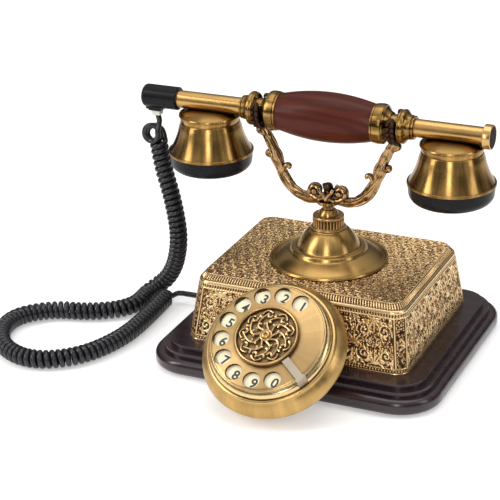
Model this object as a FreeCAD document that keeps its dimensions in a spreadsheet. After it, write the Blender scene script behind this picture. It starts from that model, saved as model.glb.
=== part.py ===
"""French-style cradle telephone: a wooden plinth, an embossed brass body, a rotary dial on the
front, a brass cradle on a turned pedestal, and a handset with a curly cord.

Millimetres, +Z up. The origin is the middle of the plinth's footprint, on the surface that the
telephone stands on. +X runs to the right along the front, and the front faces -Y.
"""
import FreeCAD
import Part
import Sketcher
import math
import os
from types import SimpleNamespace
from FreeCAD import Placement, Rotation, Vector

SIZES = {
    # general
    "wall": 1.6,
    "running_play": 0.08,
    # plinth and its felt
    "felt_thick": 1.5,
    "plinth_half_x": 102.6,
    "plinth_half_y": 88.1,
    "plinth_round": 29.0,
    "plinth_torus_top": 12.0,
    "plinth_ridge_top": 15.6,
    "plinth_top": 19.2,
    "ledge_half_x": 64.0,
    "ledge_half_y": 50.0,
    "plate_half_x": 71.5,
    "plate_half_y": 57.5,
    "plate_thick": 1.5,
    # body
    "body_low_x": 79.4,
    "body_low_y": 65.3,
    "body_round": 10.0,
    "body_bevel_x": 74.5,
    "body_bevel_y": 57.5,
    "body_bevel_z": 59.5,
    "body_top_x": 70.4,
    "body_top_y": 53.3,
    "body_top": 64.6,
    "flange_thick": 3.0,
    # pedestal on top of the body
    "dome_radius": 40.5,
    "dome_top": 87.5,
    "collar_radius": 10.8,
    "collar_top": 97.3,
    "cap_top": 101.0,
    "bush_radius": 6.0,
    "stem_radius": 3.8,
    # cradle
    "saucer_low": 104.5,
    "saucer_top": 107.0,
    "saucer_radius": 7.4,
    "hub_top": 112.0,
    "bud_top": 121.8,
    "arm_radius": 2.7,
    "volute_radius": 5.0,
    "fork_x": 48.3,
    "fork_thick": 4.2,
    "fork_width": 3.6,
    "fork_top": 175.0,
    # handset
    "handset_z": 166.5,
    "tube_radius": 6.1,
    "tube_bore": 4.6,
    "tube_left": 121.0,
    "tube_right": 109.5,
    "grip_half": 33.8,
    "grip_radius": 16.8,
    "grip_end_radius": 12.4,
    "collar_end": 45.5,
    "neck_radius": 7.5,
    "neck_end": 51.0,
    "bead_radius": 11.5,
    "bead_end": 61.8,
    "cup_x": 86.8,
    "cup_rim_radius": 29.25,
    "cup_neck_radius": 19.6,
    "cup_low": 131.5,
    "cup_shoulder": 159.6,
    "cup_cap_low": 119.5,
    "cord_cap_left": 136.3,
    "cord_cap_right": 109.7,
    "cord_cap_radius": 8.0,
    "plug_radius": 7.6,
    "plug_right": 113.8,
    # dial, about its own axis
    "dial_y": -105.74,
    "dial_z": 52.61,
    "dial_lean": 36.96,
    "wheel_radius": 38.2,
    "wheel_thick": 1.2,
    "hole_radius": 5.8,
    "hole_circle": 31.1,
    "hole_step": 25.77,
    "first_hole": 62.93,
    "rosette_radius": 21.5,
    "rosette_rise": 3.1,
    "bezel_radius": 41.0,
    "housing_radius": 48.8,
    "housing_widest": -18.0,
    "housing_back": -28.5,
    "shaft_radius": 3.0,
    "stop_angle": -38.0,
    "gear_teeth": 36,
    "pinion_teeth": 12,
    "gear_module": 0.8,
    # ringer
    "gong_x": 30.0,
    "gong_y": 28.0,
    "gong_radius": 22.0,
    "gong_top": 38.0,
    "clapper_pivot": 17.0,
    # curly cord
    "cord_radius": 2.0,
    "coil_radius": 6.75,
    "helix_radius": 4.75,
}

doc = FreeCAD.newDocument("CradlePhone")
sheet = doc.addObject("Spreadsheet::Sheet", "Sizes")
for row, (alias, number) in enumerate(SIZES.items(), start=1):
    sheet.set(f"A{row}", alias)
    sheet.set(f"B{row}", str(number))
    sheet.setAlias(f"B{row}", alias)
doc.recompute()


class Size:
    """A number from the sheet that keeps its formula, so that sums of sizes stay bound."""

    def __init__(self, number, formula):
        self.number = number
        self.formula = formula

    def __float__(self):
        return float(self.number)

    def joined(self, other, sign, number, swapped=False):
        other_formula = other.formula if isinstance(other, Size) else f"({float(other)!r})"
        first, second = (other_formula, self.formula) if swapped else (self.formula, other_formula)
        return Size(number, f"({first} {sign} {second})")

    def __add__(self, other):
        return self.joined(other, "+", float(self) + float(other))

    def __sub__(self, other):
        return self.joined(other, "-", float(self) - float(other))

    def __mul__(self, other):
        return self.joined(other, "*", float(self) * float(other))

    def __truediv__(self, other):
        return self.joined(other, "/", float(self) / float(other))

    def __radd__(self, other):
        return self.joined(other, "+", float(other) + float(self), swapped=True)

    def __rsub__(self, other):
        return self.joined(other, "-", float(other) - float(self), swapped=True)

    def __rmul__(self, other):
        return self.joined(other, "*", float(other) * float(self), swapped=True)

    def __neg__(self):
        return Size(-float(self), f"(0 - {self.formula})")


at = SimpleNamespace(**{alias: Size(number, f"Sizes.{alias}") for alias, number in SIZES.items()})
nodes = {}


# ---------------------------------------------------------------- drawing helpers

def bind(item, path, size):
    """Ties a property to the sheet, when its size comes from the sheet."""
    if isinstance(size, Size):
        item.setExpression(path, size.formula)


def put(item, x=0, y=0, z=0, turn=None):
    """Places an item at a point whose coordinates are bound to the sheet."""
    item.Placement = Placement(Vector(float(x), float(y), float(z)), turn or Rotation())
    for letter, size in zip("xyz", (x, y, z)):
        bind(item, f"Placement.Base.{letter}", size)
    return item


def node(item):
    """Marks an item as one finished sub-part: its label is the name of its file."""
    item.Label = item.Name
    nodes[item.Name] = item
    return item


def edge_between(start, end, bend):
    """A straight edge, or an arc of radius |bend| that bulges to the right of travel if bend > 0."""
    if bend is None:
        return Part.LineSegment(start, end)
    chord = end - start
    right = Vector(chord.y, -chord.x, 0)
    right.normalize()
    radius = abs(float(bend))
    rise = radius - math.sqrt(radius ** 2 - (chord.Length / 2) ** 2)
    through = (start + end) / 2 + right * math.copysign(rise, float(bend))
    return Part.Arc(start, through, end)


def draw(sketch, outline):
    """Draws a closed outline of (x, y) or (x, y, bend of the edge that follows), all constrained."""
    corners = [Vector(float(point[0]), float(point[1]), 0) for point in outline]
    bends = [point[2] if len(point) > 2 else None for point in outline]
    count = len(corners)
    for i in range(count):
        sketch.addGeometry(edge_between(corners[i], corners[(i + 1) % count], bends[i]))

    def end_at(edge, corner):
        first, last = (sketch.getPoint(edge, end).distanceToPoint(corner) for end in (1, 2))
        return 1 if first < last else 2

    for i, point in enumerate(outline):
        start = end_at(i, corners[i])
        before = (i - 1) % count
        sketch.addConstraint(
            Sketcher.Constraint("Coincident", before, end_at(before, corners[i]), i, start))
        for kind, size, axis in (("DistanceX", point[0], -2), ("DistanceY", point[1], -1)):
            if not isinstance(size, Size) and float(size) == 0:
                sketch.addConstraint(Sketcher.Constraint("PointOnObject", i, start, axis))
                continue
            number = sketch.addConstraint(Sketcher.Constraint(kind, i, start, float(size)))
            bind(sketch, f"Constraints[{number}]", size)
        if bends[i] is not None:
            radius = bends[i] if float(bends[i]) > 0 else -bends[i]
            number = sketch.addConstraint(Sketcher.Constraint("Radius", i, float(radius)))
            bind(sketch, f"Constraints[{number}]", radius)


def sketch_in(body, name, outline, role, offset=0):
    """A sketch on one of a body's own planes, moved off it by offset."""
    sketch = body.newObject("Sketcher::SketchObject", name)
    plane = next(item for item in body.Origin.OriginFeatures if item.Role == role)
    sketch.AttachmentSupport = [(plane, "")]
    sketch.MapMode = "FlatFace"
    sketch.AttachmentOffset = Placement(Vector(0, 0, float(offset)), Rotation())
    bind(sketch, "AttachmentOffset.Base.z", offset)
    draw(sketch, outline)
    return sketch


def lathe(name, outline):
    """A turned piece: the outline's x is the radius and its y the height along +Z."""
    body = doc.addObject("PartDesign::Body", name)
    profile = sketch_in(body, f"{name}_profile", outline, "XZ_Plane")
    turned = body.newObject("PartDesign::Revolution", f"{name}_turned")
    turned.Profile = profile
    turned.ReferenceAxis = (profile, ["V_Axis"])
    turned.Angle = 360
    body.Tip = turned
    return body


def pad(body, name, outline, low, high):
    """Adds a flat slab between two heights to a body."""
    sketch = sketch_in(body, f"{name}_outline", outline, "XY_Plane", low)
    slab = body.newObject("PartDesign::Pad", name)
    slab.Profile = sketch
    slab.Length = float(high) - float(low)
    bind(slab, "Length", high - low)
    body.Tip = slab
    return slab


def plate(name, outline, low, high):
    body = doc.addObject("PartDesign::Body", name)
    pad(body, f"{name}_slab", outline, low, high)
    return body


def rounded(half_x, half_y, radius):
    """A rectangle with round corners, anticlockwise."""
    x, y, r = half_x, half_y, radius
    return [(r - x, -y), (x - r, -y, r), (x, r - y), (x, y - r, r),
            (x - r, y), (r - x, y, r), (-x, y - r), (-x, r - y, r)]


def cylinder(name, radius, height, x=0, y=0, z=0, turn=None):
    item = doc.addObject("Part::Cylinder", name)
    item.Radius = float(radius)
    item.Height = float(height)
    bind(item, "Radius", radius)
    bind(item, "Height", height)
    return put(item, x, y, z, turn)


def box(name, low, high):
    """A box between two corners."""
    item = doc.addObject("Part::Box", name)
    for prop, a, b in zip(("Length", "Width", "Height"), low, high):
        setattr(item, prop, float(b) - float(a))
        bind(item, prop, b - a)
    return put(item, *low)


def joined(name, *parts):
    item = doc.addObject("Part::MultiFuse", name)
    item.Shapes = list(parts)
    return item


def group(name, *parts):
    """Separate solids of one kind in one node."""
    item = doc.addObject("Part::Compound", name)
    item.Links = list(parts)
    return item


def cut(name, base, *tools):
    item = doc.addObject("Part::Cut", name)
    item.Base = base
    item.Tool = tools[0] if len(tools) == 1 else joined(f"{name}_tools", *tools)
    return item


def corner_points(x, y):
    return [(side_x * x, side_y * y) for side_x in (-1, 1) for side_y in (-1, 1)]


def rounded_path(points, bend=0.45):
    """Straight runs joined by tangent arcs, each as large as its two shorter-run shares allow."""
    points = [Vector(*point) for point in points]
    edges, radii, start = [], [], points[0]
    for before, corner, after in zip(points, points[1:], points[2:]):
        back, ahead = before - corner, after - corner
        reach = bend * min(back.Length, ahead.Length)
        half_turn = (math.pi - back.getAngle(ahead)) / 2
        radii.append(reach / math.tan(half_turn))
        back.normalize()
        ahead.normalize()
        tangent_in, tangent_out = corner + back * reach, corner + ahead * reach
        inward = back + ahead
        inward.normalize()
        depth = radii[-1] / math.cos(half_turn) - radii[-1]
        edges.append(Part.LineSegment(start, tangent_in).toShape())
        edges.append(Part.Arc(tangent_in, corner + inward * depth, tangent_out).toShape())
        start = tangent_out
    edges.append(Part.LineSegment(start, points[-1]).toShape())
    return Part.Wire(edges), radii


def pipe(name, points, radius):
    """A round bar or tube along a rounded path."""
    path, radii = rounded_path(points)
    start = Vector(*points[0])
    section = Part.Wire(Part.Circle(start, Vector(*points[1]) - start, float(radius)).toShape())
    item = doc.addObject("Part::Feature", name)
    item.Shape = path.makePipeShell([section], True, False)
    share = item.Shape.Volume / (math.pi * float(radius) ** 2 * path.Length)
    if abs(share - 1) > 0.01:
        raise RuntimeError(f"{name}: volume is {share:.3f} of section times length")
    if radii:
        print(f"{name}: {path.Length:.0f} mm long, arc radii", [round(r, 1) for r in radii])
    return item


# ---------------------------------------------------------------- plinth, felt and floor plate

def screws(name, places, head_low, head_high, shank_end, side=1):
    """A group of equal screws that point up, each with a round head of radius 3."""
    parts = []
    for number, (x, y) in enumerate(places):
        head = cylinder(f"{name}_head{number}", 3.0, head_high - head_low, x, y, head_low)
        shank = cylinder(f"{name}_shank{number}", 1.5, shank_end - head_high, x, y, head_high)
        parts.append(joined(f"{name}{number}", head, shank))
    return group(name, *parts)


plate_low = at.felt_thick + 0.1
plate_top = plate_low + at.plate_thick
plate_screw_places = corner_points(at.ledge_half_x + 4, at.ledge_half_y)
body_screw_places = corner_points(at.ledge_half_x + 4, 25)
grommet_y, grommet_z = 20.0, 7.8
jack_x, jack_z = 40.0, 8.0
along_x = Rotation(Vector(0, 1, 0), 90)
along_y = Rotation(Vector(1, 0, 0), -90)


def edges_at(shape, height):
    """The names of the level edges at a height."""
    return [f"Edge{number}" for number, edge in enumerate(shape.Edges, start=1)
            if abs(edge.BoundBox.ZMin - height) < 1e-4 and abs(edge.BoundBox.ZMax - height) < 1e-4]


def make_plinth():
    body = doc.addObject("PartDesign::Body", "plinth_blank")
    torus = pad(body, "plinth_torus", rounded(at.plinth_half_x, at.plinth_half_y, at.plinth_round),
                at.felt_thick, at.plinth_torus_top)
    doc.recompute()
    for name, height, radius in (("plinth_torus_crown", at.plinth_torus_top, 4.5),
                                 ("plinth_torus_foot", at.felt_thick, 3.5)):
        fillet = body.newObject("PartDesign::Fillet", name)
        fillet.Base = (torus, edges_at(torus.Shape, float(height)))
        fillet.Radius = radius
        body.Tip = fillet
        doc.recompute()
        torus = fillet
    pad(body, "plinth_ridge", rounded(at.plinth_half_x - 6.2, at.plinth_half_y - 6.2,
                                      at.plinth_round - 6.2), at.plinth_torus_top - 1,
        at.plinth_ridge_top)
    pad(body, "plinth_step", rounded(at.plinth_half_x - 10.5, at.plinth_half_y - 10.5,
                                     at.plinth_round - 10.5), at.plinth_ridge_top, at.plinth_top)
    opening = plate("plinth_opening", rounded(at.ledge_half_x, at.ledge_half_y, 8),
                    at.felt_thick - 1, at.plinth_top + 1)
    rebate = plate("plinth_rebate", rounded(at.plate_half_x + 0.1, at.plate_half_y + 0.1, 6.1),
                   at.felt_thick - 1, plate_top)
    cord_hole = cylinder("plinth_cord_hole", 3.2, 45, -at.plinth_half_x, grommet_y, grommet_z,
                         along_x)
    cord_recess = cylinder("plinth_cord_recess", 4.6, 12, -at.plinth_half_x - 8.4, grommet_y,
                           grommet_z, along_x)
    jack_hole = box("plinth_jack_hole", (jack_x - 8, at.plinth_half_y - 45, jack_z - 5),
                    (jack_x + 8, at.plinth_half_y + 5, jack_z + 6))
    tools = [opening, rebate, cord_hole, cord_recess, jack_hole]
    for number, (x, y) in enumerate(plate_screw_places):
        tools.append(cylinder(f"plinth_plate_screw_hole{number}", 1.5, 9, x, y, 2))
    for number, (x, y) in enumerate(body_screw_places):
        tools.append(cylinder(f"plinth_body_screw_hole{number}", 1.5, 25, x, y, 2))
        tools.append(cylinder(f"plinth_head_recess{number}", 3.2, 4.3, x, y, 1))
    return node(cut("plinth", body, *tools))


def make_base():
    make_plinth()
    holes = [cylinder(f"base_plate_hole{number}", 1.5, 5, x, y, 0)
             for number, (x, y) in enumerate(plate_screw_places)]
    node(cut("base_plate", plate("base_plate_blank", rounded(at.plate_half_x, at.plate_half_y, 6),
                                 plate_low, plate_top), *holes))
    pad_blank = plate("felt_pad_blank", rounded(at.plinth_half_x - 9, at.plinth_half_y - 9,
                                                at.plinth_round - 9), Size(0, "0"), at.felt_thick)
    recesses = [cylinder(f"felt_pad_hole{number}", 3.6, 5, x, y, -1)
                for number, (x, y) in enumerate(plate_screw_places)]
    node(cut("felt_pad", pad_blank, *recesses))
    node(screws("base_screws", plate_screw_places, plate_low - 0.9, plate_low, 11))
    node(screws("body_screws", body_screw_places, plate_top, 5.3, 21.5))


make_base()


# ---------------------------------------------------------------- body shell

def ring_sketch(name, half_x, half_y, radius, height):
    sketch = doc.addObject("Sketcher::SketchObject", name)
    draw(sketch, rounded(half_x, half_y, radius))
    return put(sketch, 0, 0, height)


def tapered_box(name, inset, low, high):
    """The body's solid form with its bevel, drawn in by inset on every side, between two heights."""
    slope_x = (at.body_low_x - at.body_bevel_x) / (at.body_bevel_z - at.plinth_top)
    slope_y = (at.body_low_y - at.body_bevel_y) / (at.body_bevel_z - at.plinth_top)
    rise = low - at.plinth_top
    bevel = at.body_bevel_z - inset * 0.5
    sections = [
        ring_sketch(f"{name}_low", at.body_low_x - inset - slope_x * rise,
                    at.body_low_y - inset - slope_y * rise, at.body_round - inset, low),
        ring_sketch(f"{name}_bevel", at.body_bevel_x - inset, at.body_bevel_y - inset,
                    at.body_round - inset, bevel),
        ring_sketch(f"{name}_top", at.body_top_x - inset, at.body_top_y - inset,
                    at.body_round - inset - 2, high)]
    loft = doc.addObject("Part::Loft", name)
    loft.Sections = sections
    loft.Solid = True
    loft.Ruled = True
    return loft


body_form = tapered_box("body_form", Size(0, "0"), at.plinth_top, at.body_top)
body_clearance = tapered_box("body_clearance", Size(-0.15, "(0 - 0.15)"), at.plinth_top,
                             at.body_top + 0.15)


def dial_turn():
    return Rotation(Vector(1, 0, 0), float(at.dial_lean))


def on_dial(item):
    """Moves a piece drawn about +Z onto the dial's own axis."""
    return put(item, 0, at.dial_y, at.dial_z, dial_turn())


def dial_cable_hole(name):
    """The way for the dial's wires, through the back cover, the bracket and the body's front."""
    drilled = cylinder(name, 3.5, 30, 0, 24, -50)
    return on_dial(group(f"{name}_placed", drilled))


def make_body_shell():
    hollow = tapered_box("body_hollow", at.wall, at.plinth_top + at.flange_thick,
                         at.body_top - at.wall)
    opening = plate("body_opening", rounded(at.ledge_half_x + 0.5, at.ledge_half_y + 0.5, 4),
                    at.plinth_top - 1, at.plinth_top + at.flange_thick + 1)
    bush_hole = cylinder("body_bush_hole", at.bush_radius + 0.1, 10, 0, 0, at.body_top - 5)
    screw_holes = [cylinder(f"body_screw_hole{number}", 1.5, 4, x, y, at.plinth_top - 0.5)
                   for number, (x, y) in enumerate(body_screw_places)]
    hollowed = cut("body_hollowed", body_form, hollow)
    node(cut("body_shell", hollowed, opening, bush_hole, dial_cable_hole("body_cable_hole"),
             *screw_holes))


make_body_shell()


# ---------------------------------------------------------------- pedestal on the body

def make_pedestal():
    top = at.body_top
    node(lathe("dome_pedestal", [
        (37.0, top), (at.dome_radius, top), (at.dome_radius, top + 1.4, 1.3),
        (38.6, top + 2.3), (37.4, top + 1.9, -60), (26.4, top + 7.2), (25.8, top + 8.9, 1.4),
        (24.0, top + 9.8), (21.8, top + 10.2, 22), (12.4, at.dome_top),
        (at.bush_radius + 0.1, at.dome_top), (at.bush_radius + 0.1, at.dome_top - 1.8),
        (11.0, at.dome_top - 1.8, -20), (20.0, top + 9.0), (24.4, top + 7.6), (24.8, top + 6.4),
        (36.6, top + 1.0)]))
    bore = at.stem_radius + at.running_play
    node(lathe("guide_bush", [
        (bore, 60), (10, 60), (10, top - at.wall), (at.bush_radius, top - at.wall),
        (at.bush_radius, 95), (bore, 95)]))
    inner = at.bush_radius + 0.1
    outer = at.collar_radius
    node(lathe("knurled_collar", [
        (inner, at.dome_top), (outer + 0.6, at.dome_top, 0.9), (outer + 0.6, at.dome_top + 1.5),
        (outer, at.dome_top + 1.9), (outer, at.collar_top - 1.2), (outer - 1.2, at.collar_top),
        (inner, at.collar_top)]))
    node(lathe("collar_cap", [
        (bore, 95), (at.bush_radius, 95), (at.bush_radius, at.collar_top),
        (6.9, at.collar_top, 5.5), (4.8, at.cap_top), (bore, at.cap_top)]))


make_pedestal()


# ---------------------------------------------------------------- cradle

FORK_CLEARANCE = 0.3


def arm_points(side):
    """The middle line of one S-shaped arm, from the hub out and up to its fork."""
    line = [(5.5, 108.6), (18, 107.4), (30.5, 114.5), (37.5, 127), (40.5, 139.5), (46.5, 148),
            (48.3, 155.4)]
    return [(side * x, 0, z) for x, z in line]


def make_fork(name, side):
    """A half ring that carries the neck, with two prongs that stand up on each side of it."""
    inner = at.neck_radius + FORK_CLEARANCE
    outer = inner + at.fork_width
    low_x = side * at.fork_x - at.fork_thick / 2
    high_x = side * at.fork_x + at.fork_thick / 2
    ring = cylinder(f"{name}_ring", outer, at.fork_thick, low_x, 0, at.handset_z, along_x)
    prongs = box(f"{name}_prongs", (low_x, -outer, at.handset_z), (high_x, outer, at.fork_top))
    mouth = cylinder(f"{name}_mouth", inner, at.fork_thick + 2, low_x - 1, 0, at.handset_z, along_x)
    gap = box(f"{name}_gap", (low_x - 1, -inner, at.handset_z),
              (high_x + 1, inner, at.handset_z + outer + 1))
    return node(cut(name, joined(f"{name}_form", ring, prongs), mouth, gap))


def make_cradle():
    node(lathe("cradle_stem", [
        (0, 44), (6.5, 44), (6.5, 46), (at.stem_radius, 46), (at.stem_radius, at.saucer_low),
        (0, at.saucer_low)]))
    radius = at.saucer_radius
    node(lathe("cradle_saucer", [
        (0, at.saucer_low), (radius - 2.2, at.saucer_low, -4), (radius, at.saucer_low + 1.2),
        (radius, at.saucer_top - 0.4), (radius - 0.6, at.saucer_top), (0, at.saucer_top)]))
    block = box("hub_block", (-5.5, -4.5, at.saucer_top), (5.5, 4.5, at.hub_top))
    volutes = [cylinder(f"volute{number}", at.volute_radius, 5, side * 11.3, -2.5,
                        at.hub_top + 0.4, along_y)
               for number, side in enumerate((-1, 1))]
    fork_inner = at.neck_radius + FORK_CLEARANCE
    arms = []
    for name, side in (("left", -1), ("right", 1)):
        bar = pipe(f"arm_{name}_bar", arm_points(side), at.arm_radius)
        seat = cylinder(f"arm_{name}_seat", fork_inner + at.fork_width, 8,
                        side * at.fork_x - 4, 0, at.handset_z, along_x)
        arms.append((name, bar, seat))
    hub = node(joined("cradle_hub", block, *volutes))
    for name, bar, seat in arms:
        node(cut(f"arm_{name}", bar, hub, nodes["cradle_saucer"], seat))
    node(lathe("finial_bud", [
        (0, at.hub_top), (3.2, at.hub_top), (2.4, at.hub_top + 2.2), (3.6, at.hub_top + 4.4, 4.2),
        (2.2, at.bud_top - 0.8), (0, at.bud_top)]))
    make_fork("fork_left", -1)
    make_fork("fork_right", 1)


make_cradle()


# ---------------------------------------------------------------- hook switch inside the body

SPRING_SEAT = 32.0
SPRING_RADIUS = 4.6


def make_hook_switch():
    """The bracket under the stem with its stack of contact leaves, and the spring on its seat."""
    foot = box("hook_foot", (-12, -8, plate_top), (12, 8, plate_top + 1.5))
    column = box("hook_column", (-12, -8, plate_top + 1.5), (-10.5, 8, SPRING_SEAT))
    seat = box("hook_seat", (-10.5, -8, SPRING_SEAT - 1.5), (14, 8, SPRING_SEAT))
    stack = box("hook_stack", (9, -4, SPRING_SEAT), (14, 4, SPRING_SEAT + 8))
    leaves = [box(f"hook_leaf{number}", (x, -2.5, SPRING_SEAT + 8), (x + 0.3, 2.5, 53))
              for number, x in enumerate((9.6, 11.3, 13.0))]
    node(joined("hook_switch", foot, column, seat, stack, *leaves))
    spring = doc.addObject("PartDesign::Body", "hook_spring")
    plane = next(item for item in spring.Origin.OriginFeatures if item.Role == "XZ_Plane")
    section = spring.newObject("Sketcher::SketchObject", "hook_spring_wire")
    section.AttachmentSupport = [(plane, "")]
    section.MapMode = "FlatFace"
    low = SPRING_SEAT + 0.8
    section.addGeometry(Part.Circle(Vector(SPRING_RADIUS, low, 0), Vector(0, 0, 1), 0.6))
    section.addConstraint([Sketcher.Constraint("Radius", 0, 0.6),
                           Sketcher.Constraint("DistanceX", 0, 3, SPRING_RADIUS),
                           Sketcher.Constraint("DistanceY", 0, 3, low)])
    coil = spring.newObject("PartDesign::AdditiveHelix", "hook_spring_coil")
    coil.Profile = section
    coil.ReferenceAxis = (section, ["V_Axis"])
    coil.Mode = "pitch-height-angle"
    coil.Pitch = 2.6
    coil.Height = 10.4
    spring.Tip = coil
    node(spring)


make_hook_switch()


# ---------------------------------------------------------------- ringer and board inside the body

def make_ringer():
    for name, side in (("left", -1), ("right", 1)):
        bell = lathe(f"gong_{name}", [
            (at.gong_radius - 1.4, 25), (at.gong_radius, 25), (at.gong_radius, 27, 15),
            (10, at.gong_top), (2.1, at.gong_top), (2.1, at.gong_top - 1.4),
            (9.5, at.gong_top - 1.4, -13.6), (at.gong_radius - 1.4, 27)])
        node(put(bell, side * at.gong_x, at.gong_y, 0))
    posts = []
    for number, side in enumerate((-1, 1)):
        post = lathe(f"gong_post{number}", [
            (0, plate_top), (4, plate_top), (4, at.gong_top - 1.4), (2, at.gong_top - 1.4),
            (2, at.gong_top), (4, at.gong_top), (4, at.gong_top + 2), (0, at.gong_top + 2)])
        posts.append(put(post, side * at.gong_x, at.gong_y, 0))
    node(group("gong_posts", *posts))
    y = at.gong_y
    yoke = box("ringer_yoke", (-14, y - 6, plate_top), (14, y + 6, plate_top + 1.5))
    coils = [cylinder(f"ringer_coil{number}", 5, 8, side * 8, y, plate_top + 1.5)
             for number, side in enumerate((-1, 1))]
    cheeks = [box(f"ringer_cheek{number}", (-2.5, y + low, plate_top + 1.5),
                  (2.5, y + low + 1.2, at.clapper_pivot + 2.5))
              for number, low in enumerate((-6, 4.8))]
    pin = cylinder("ringer_pin", 0.8, 12, 0, y - 6, at.clapper_pivot, along_y)
    node(joined("ringer_coil", yoke, *coils, *cheeks, pin))
    armature = box("clapper_armature", (-11, y - 2.5, at.clapper_pivot - 1.2),
                   (11, y + 2.5, at.clapper_pivot + 1.2))
    rod = cylinder("clapper_rod", 0.9, 13, 0, y, at.clapper_pivot + 1)
    ball = doc.addObject("Part::Sphere", "clapper_ball")
    ball.Radius = 4.0
    put(ball, 0, y, at.clapper_pivot + 14)
    bore = cylinder("clapper_bore", 0.88, 12, 0, y - 6, at.clapper_pivot, along_y)
    node(cut("clapper", joined("clapper_form", armature, rod, ball), bore))


def make_board():
    board = box("board_sheet", (-56, -46, plate_top + 4), (-16, -18, plate_top + 5.6))
    legs = [cylinder(f"board_leg{number}", 2, 4, -36 + x, -32 + y, plate_top)
            for number, (x, y) in enumerate(corner_points(17, 11))]
    coil = box("board_transformer", (-52, -42, plate_top + 5.6), (-38, -28, plate_top + 16))
    canister = cylinder("board_canister", 4, 12, -25, -38, plate_top + 5.6)
    node(joined("circuit_board", board, *legs, coil, canister))
    grommet = lathe("cord_grommet", [
        (2.1, 0), (3.6, 0, 0.9), (4.5, 0.9), (4.5, 3), (3.2, 3), (3.2, 14), (2.1, 14)])
    node(put(grommet, -at.plinth_half_x + 0.6, grommet_y, grommet_z, along_x))
    y = at.plinth_half_y
    jack = box("line_jack_block", (jack_x - 8, y - 16, jack_z - 5), (jack_x + 8, y, jack_z + 6))
    mouth = box("line_jack_mouth", (jack_x - 5, y - 12, jack_z - 3.4), (jack_x + 5, y + 1,
                                                                      jack_z + 3.4))
    node(cut("line_jack", jack, mouth))


make_ringer()
make_board()


# ---------------------------------------------------------------- dial housing on the body's front

def make_dial_housing():
    widest, back, radius = at.housing_widest, at.housing_back, at.housing_radius
    blank = on_dial(lathe("dial_housing_blank", [
        (39.8, back), (41.6, back, 18), (radius, widest, 15), (43.8, -9.6), (43.4, -9.0, 1.5),
        (at.bezel_radius + 0.2, -7.5), (39.5, -7.5), (39.5, -9.0), (42.4, -10.8, -14),
        (radius - at.wall, widest, -16), (39.8, back + 1.8)]))
    node(cut("dial_housing", blank, body_clearance))
    bezel = on_dial(lathe("dial_bezel", [
        (38.1, -9.0), (39.4, -9.0), (39.4, -7.5), (at.bezel_radius, -7.5),
        (at.bezel_radius, -7.0, 4), (38.9, -3.6), (38.1, -4.2)]))
    node(bezel)
    cover = on_dial(lathe("dial_back_blank", [
        (0, back - 1.5), (40.6, back - 1.5), (at.bezel_radius + 0.2, back), (0, back)]))
    node(cut("dial_back", cover, body_clearance, dial_cable_hole("dial_back_hole")))
    bracket = on_dial(group("dial_bracket_placed", box(
        "dial_bracket_block", (-16, 15.5, -50), (16, 33, back - 1.5))))
    node(cut("dial_bracket", bracket, body_clearance, dial_cable_hole("dial_bracket_hole")))
    node(on_dial(lathe("number_plate", [
        (36.6, -11.0), (37.8, -11.0), (37.8, -5.4), (5, -5.4), (5, -6.6), (36.6, -6.6)])))
    foot = box("finger_stop_foot", (38.7, -3.4, -7.2), (41.0, 3.4, 2.0))
    tip = rosette_gap()
    bar = box("finger_stop_bar", (tip, -2.6, 0.9), (39.5, 2.6, 2.0))
    raised = group("finger_stop_arm", joined("finger_stop_form", foot, bar))
    spin = dial_turn().multiply(Rotation(Vector(0, 0, 1), float(at.stop_angle)))
    put(raised, 0, at.dial_y, at.dial_z, spin)
    node(cut("finger_stop", raised, bezel))


def rosette_gap():
    """Where the finger stop's tip ends, just outside the medallion."""
    return at.rosette_radius + 0.8


def gear(name, teeth, low, high, bore):
    """A spur gear with straight-sided teeth, thin enough to run with play."""
    pitch_radius = teeth * at.gear_module / 2
    root = pitch_radius - 0.9
    tip = pitch_radius + 0.7
    body = lathe(name, [(bore, low), (root, low), (root, high), (bore, high)])
    tooth = pad(body, f"{name}_tooth", [
        (root - 0.3, -0.62), (root, -0.62), (tip, -0.26), (tip, 0.26), (root, 0.62),
        (root - 0.3, 0.62)], low, high)
    doc.recompute()
    ring = body.newObject("PartDesign::PolarPattern", f"{name}_teeth")
    ring.Originals = [tooth]
    ring.Axis = (body.Origin.OriginFeatures[2], [""])
    ring.Angle = 360
    ring.Occurrences = int(float(teeth))
    body.Tip = ring
    return body


PINION_PLAY = 0.15


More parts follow.
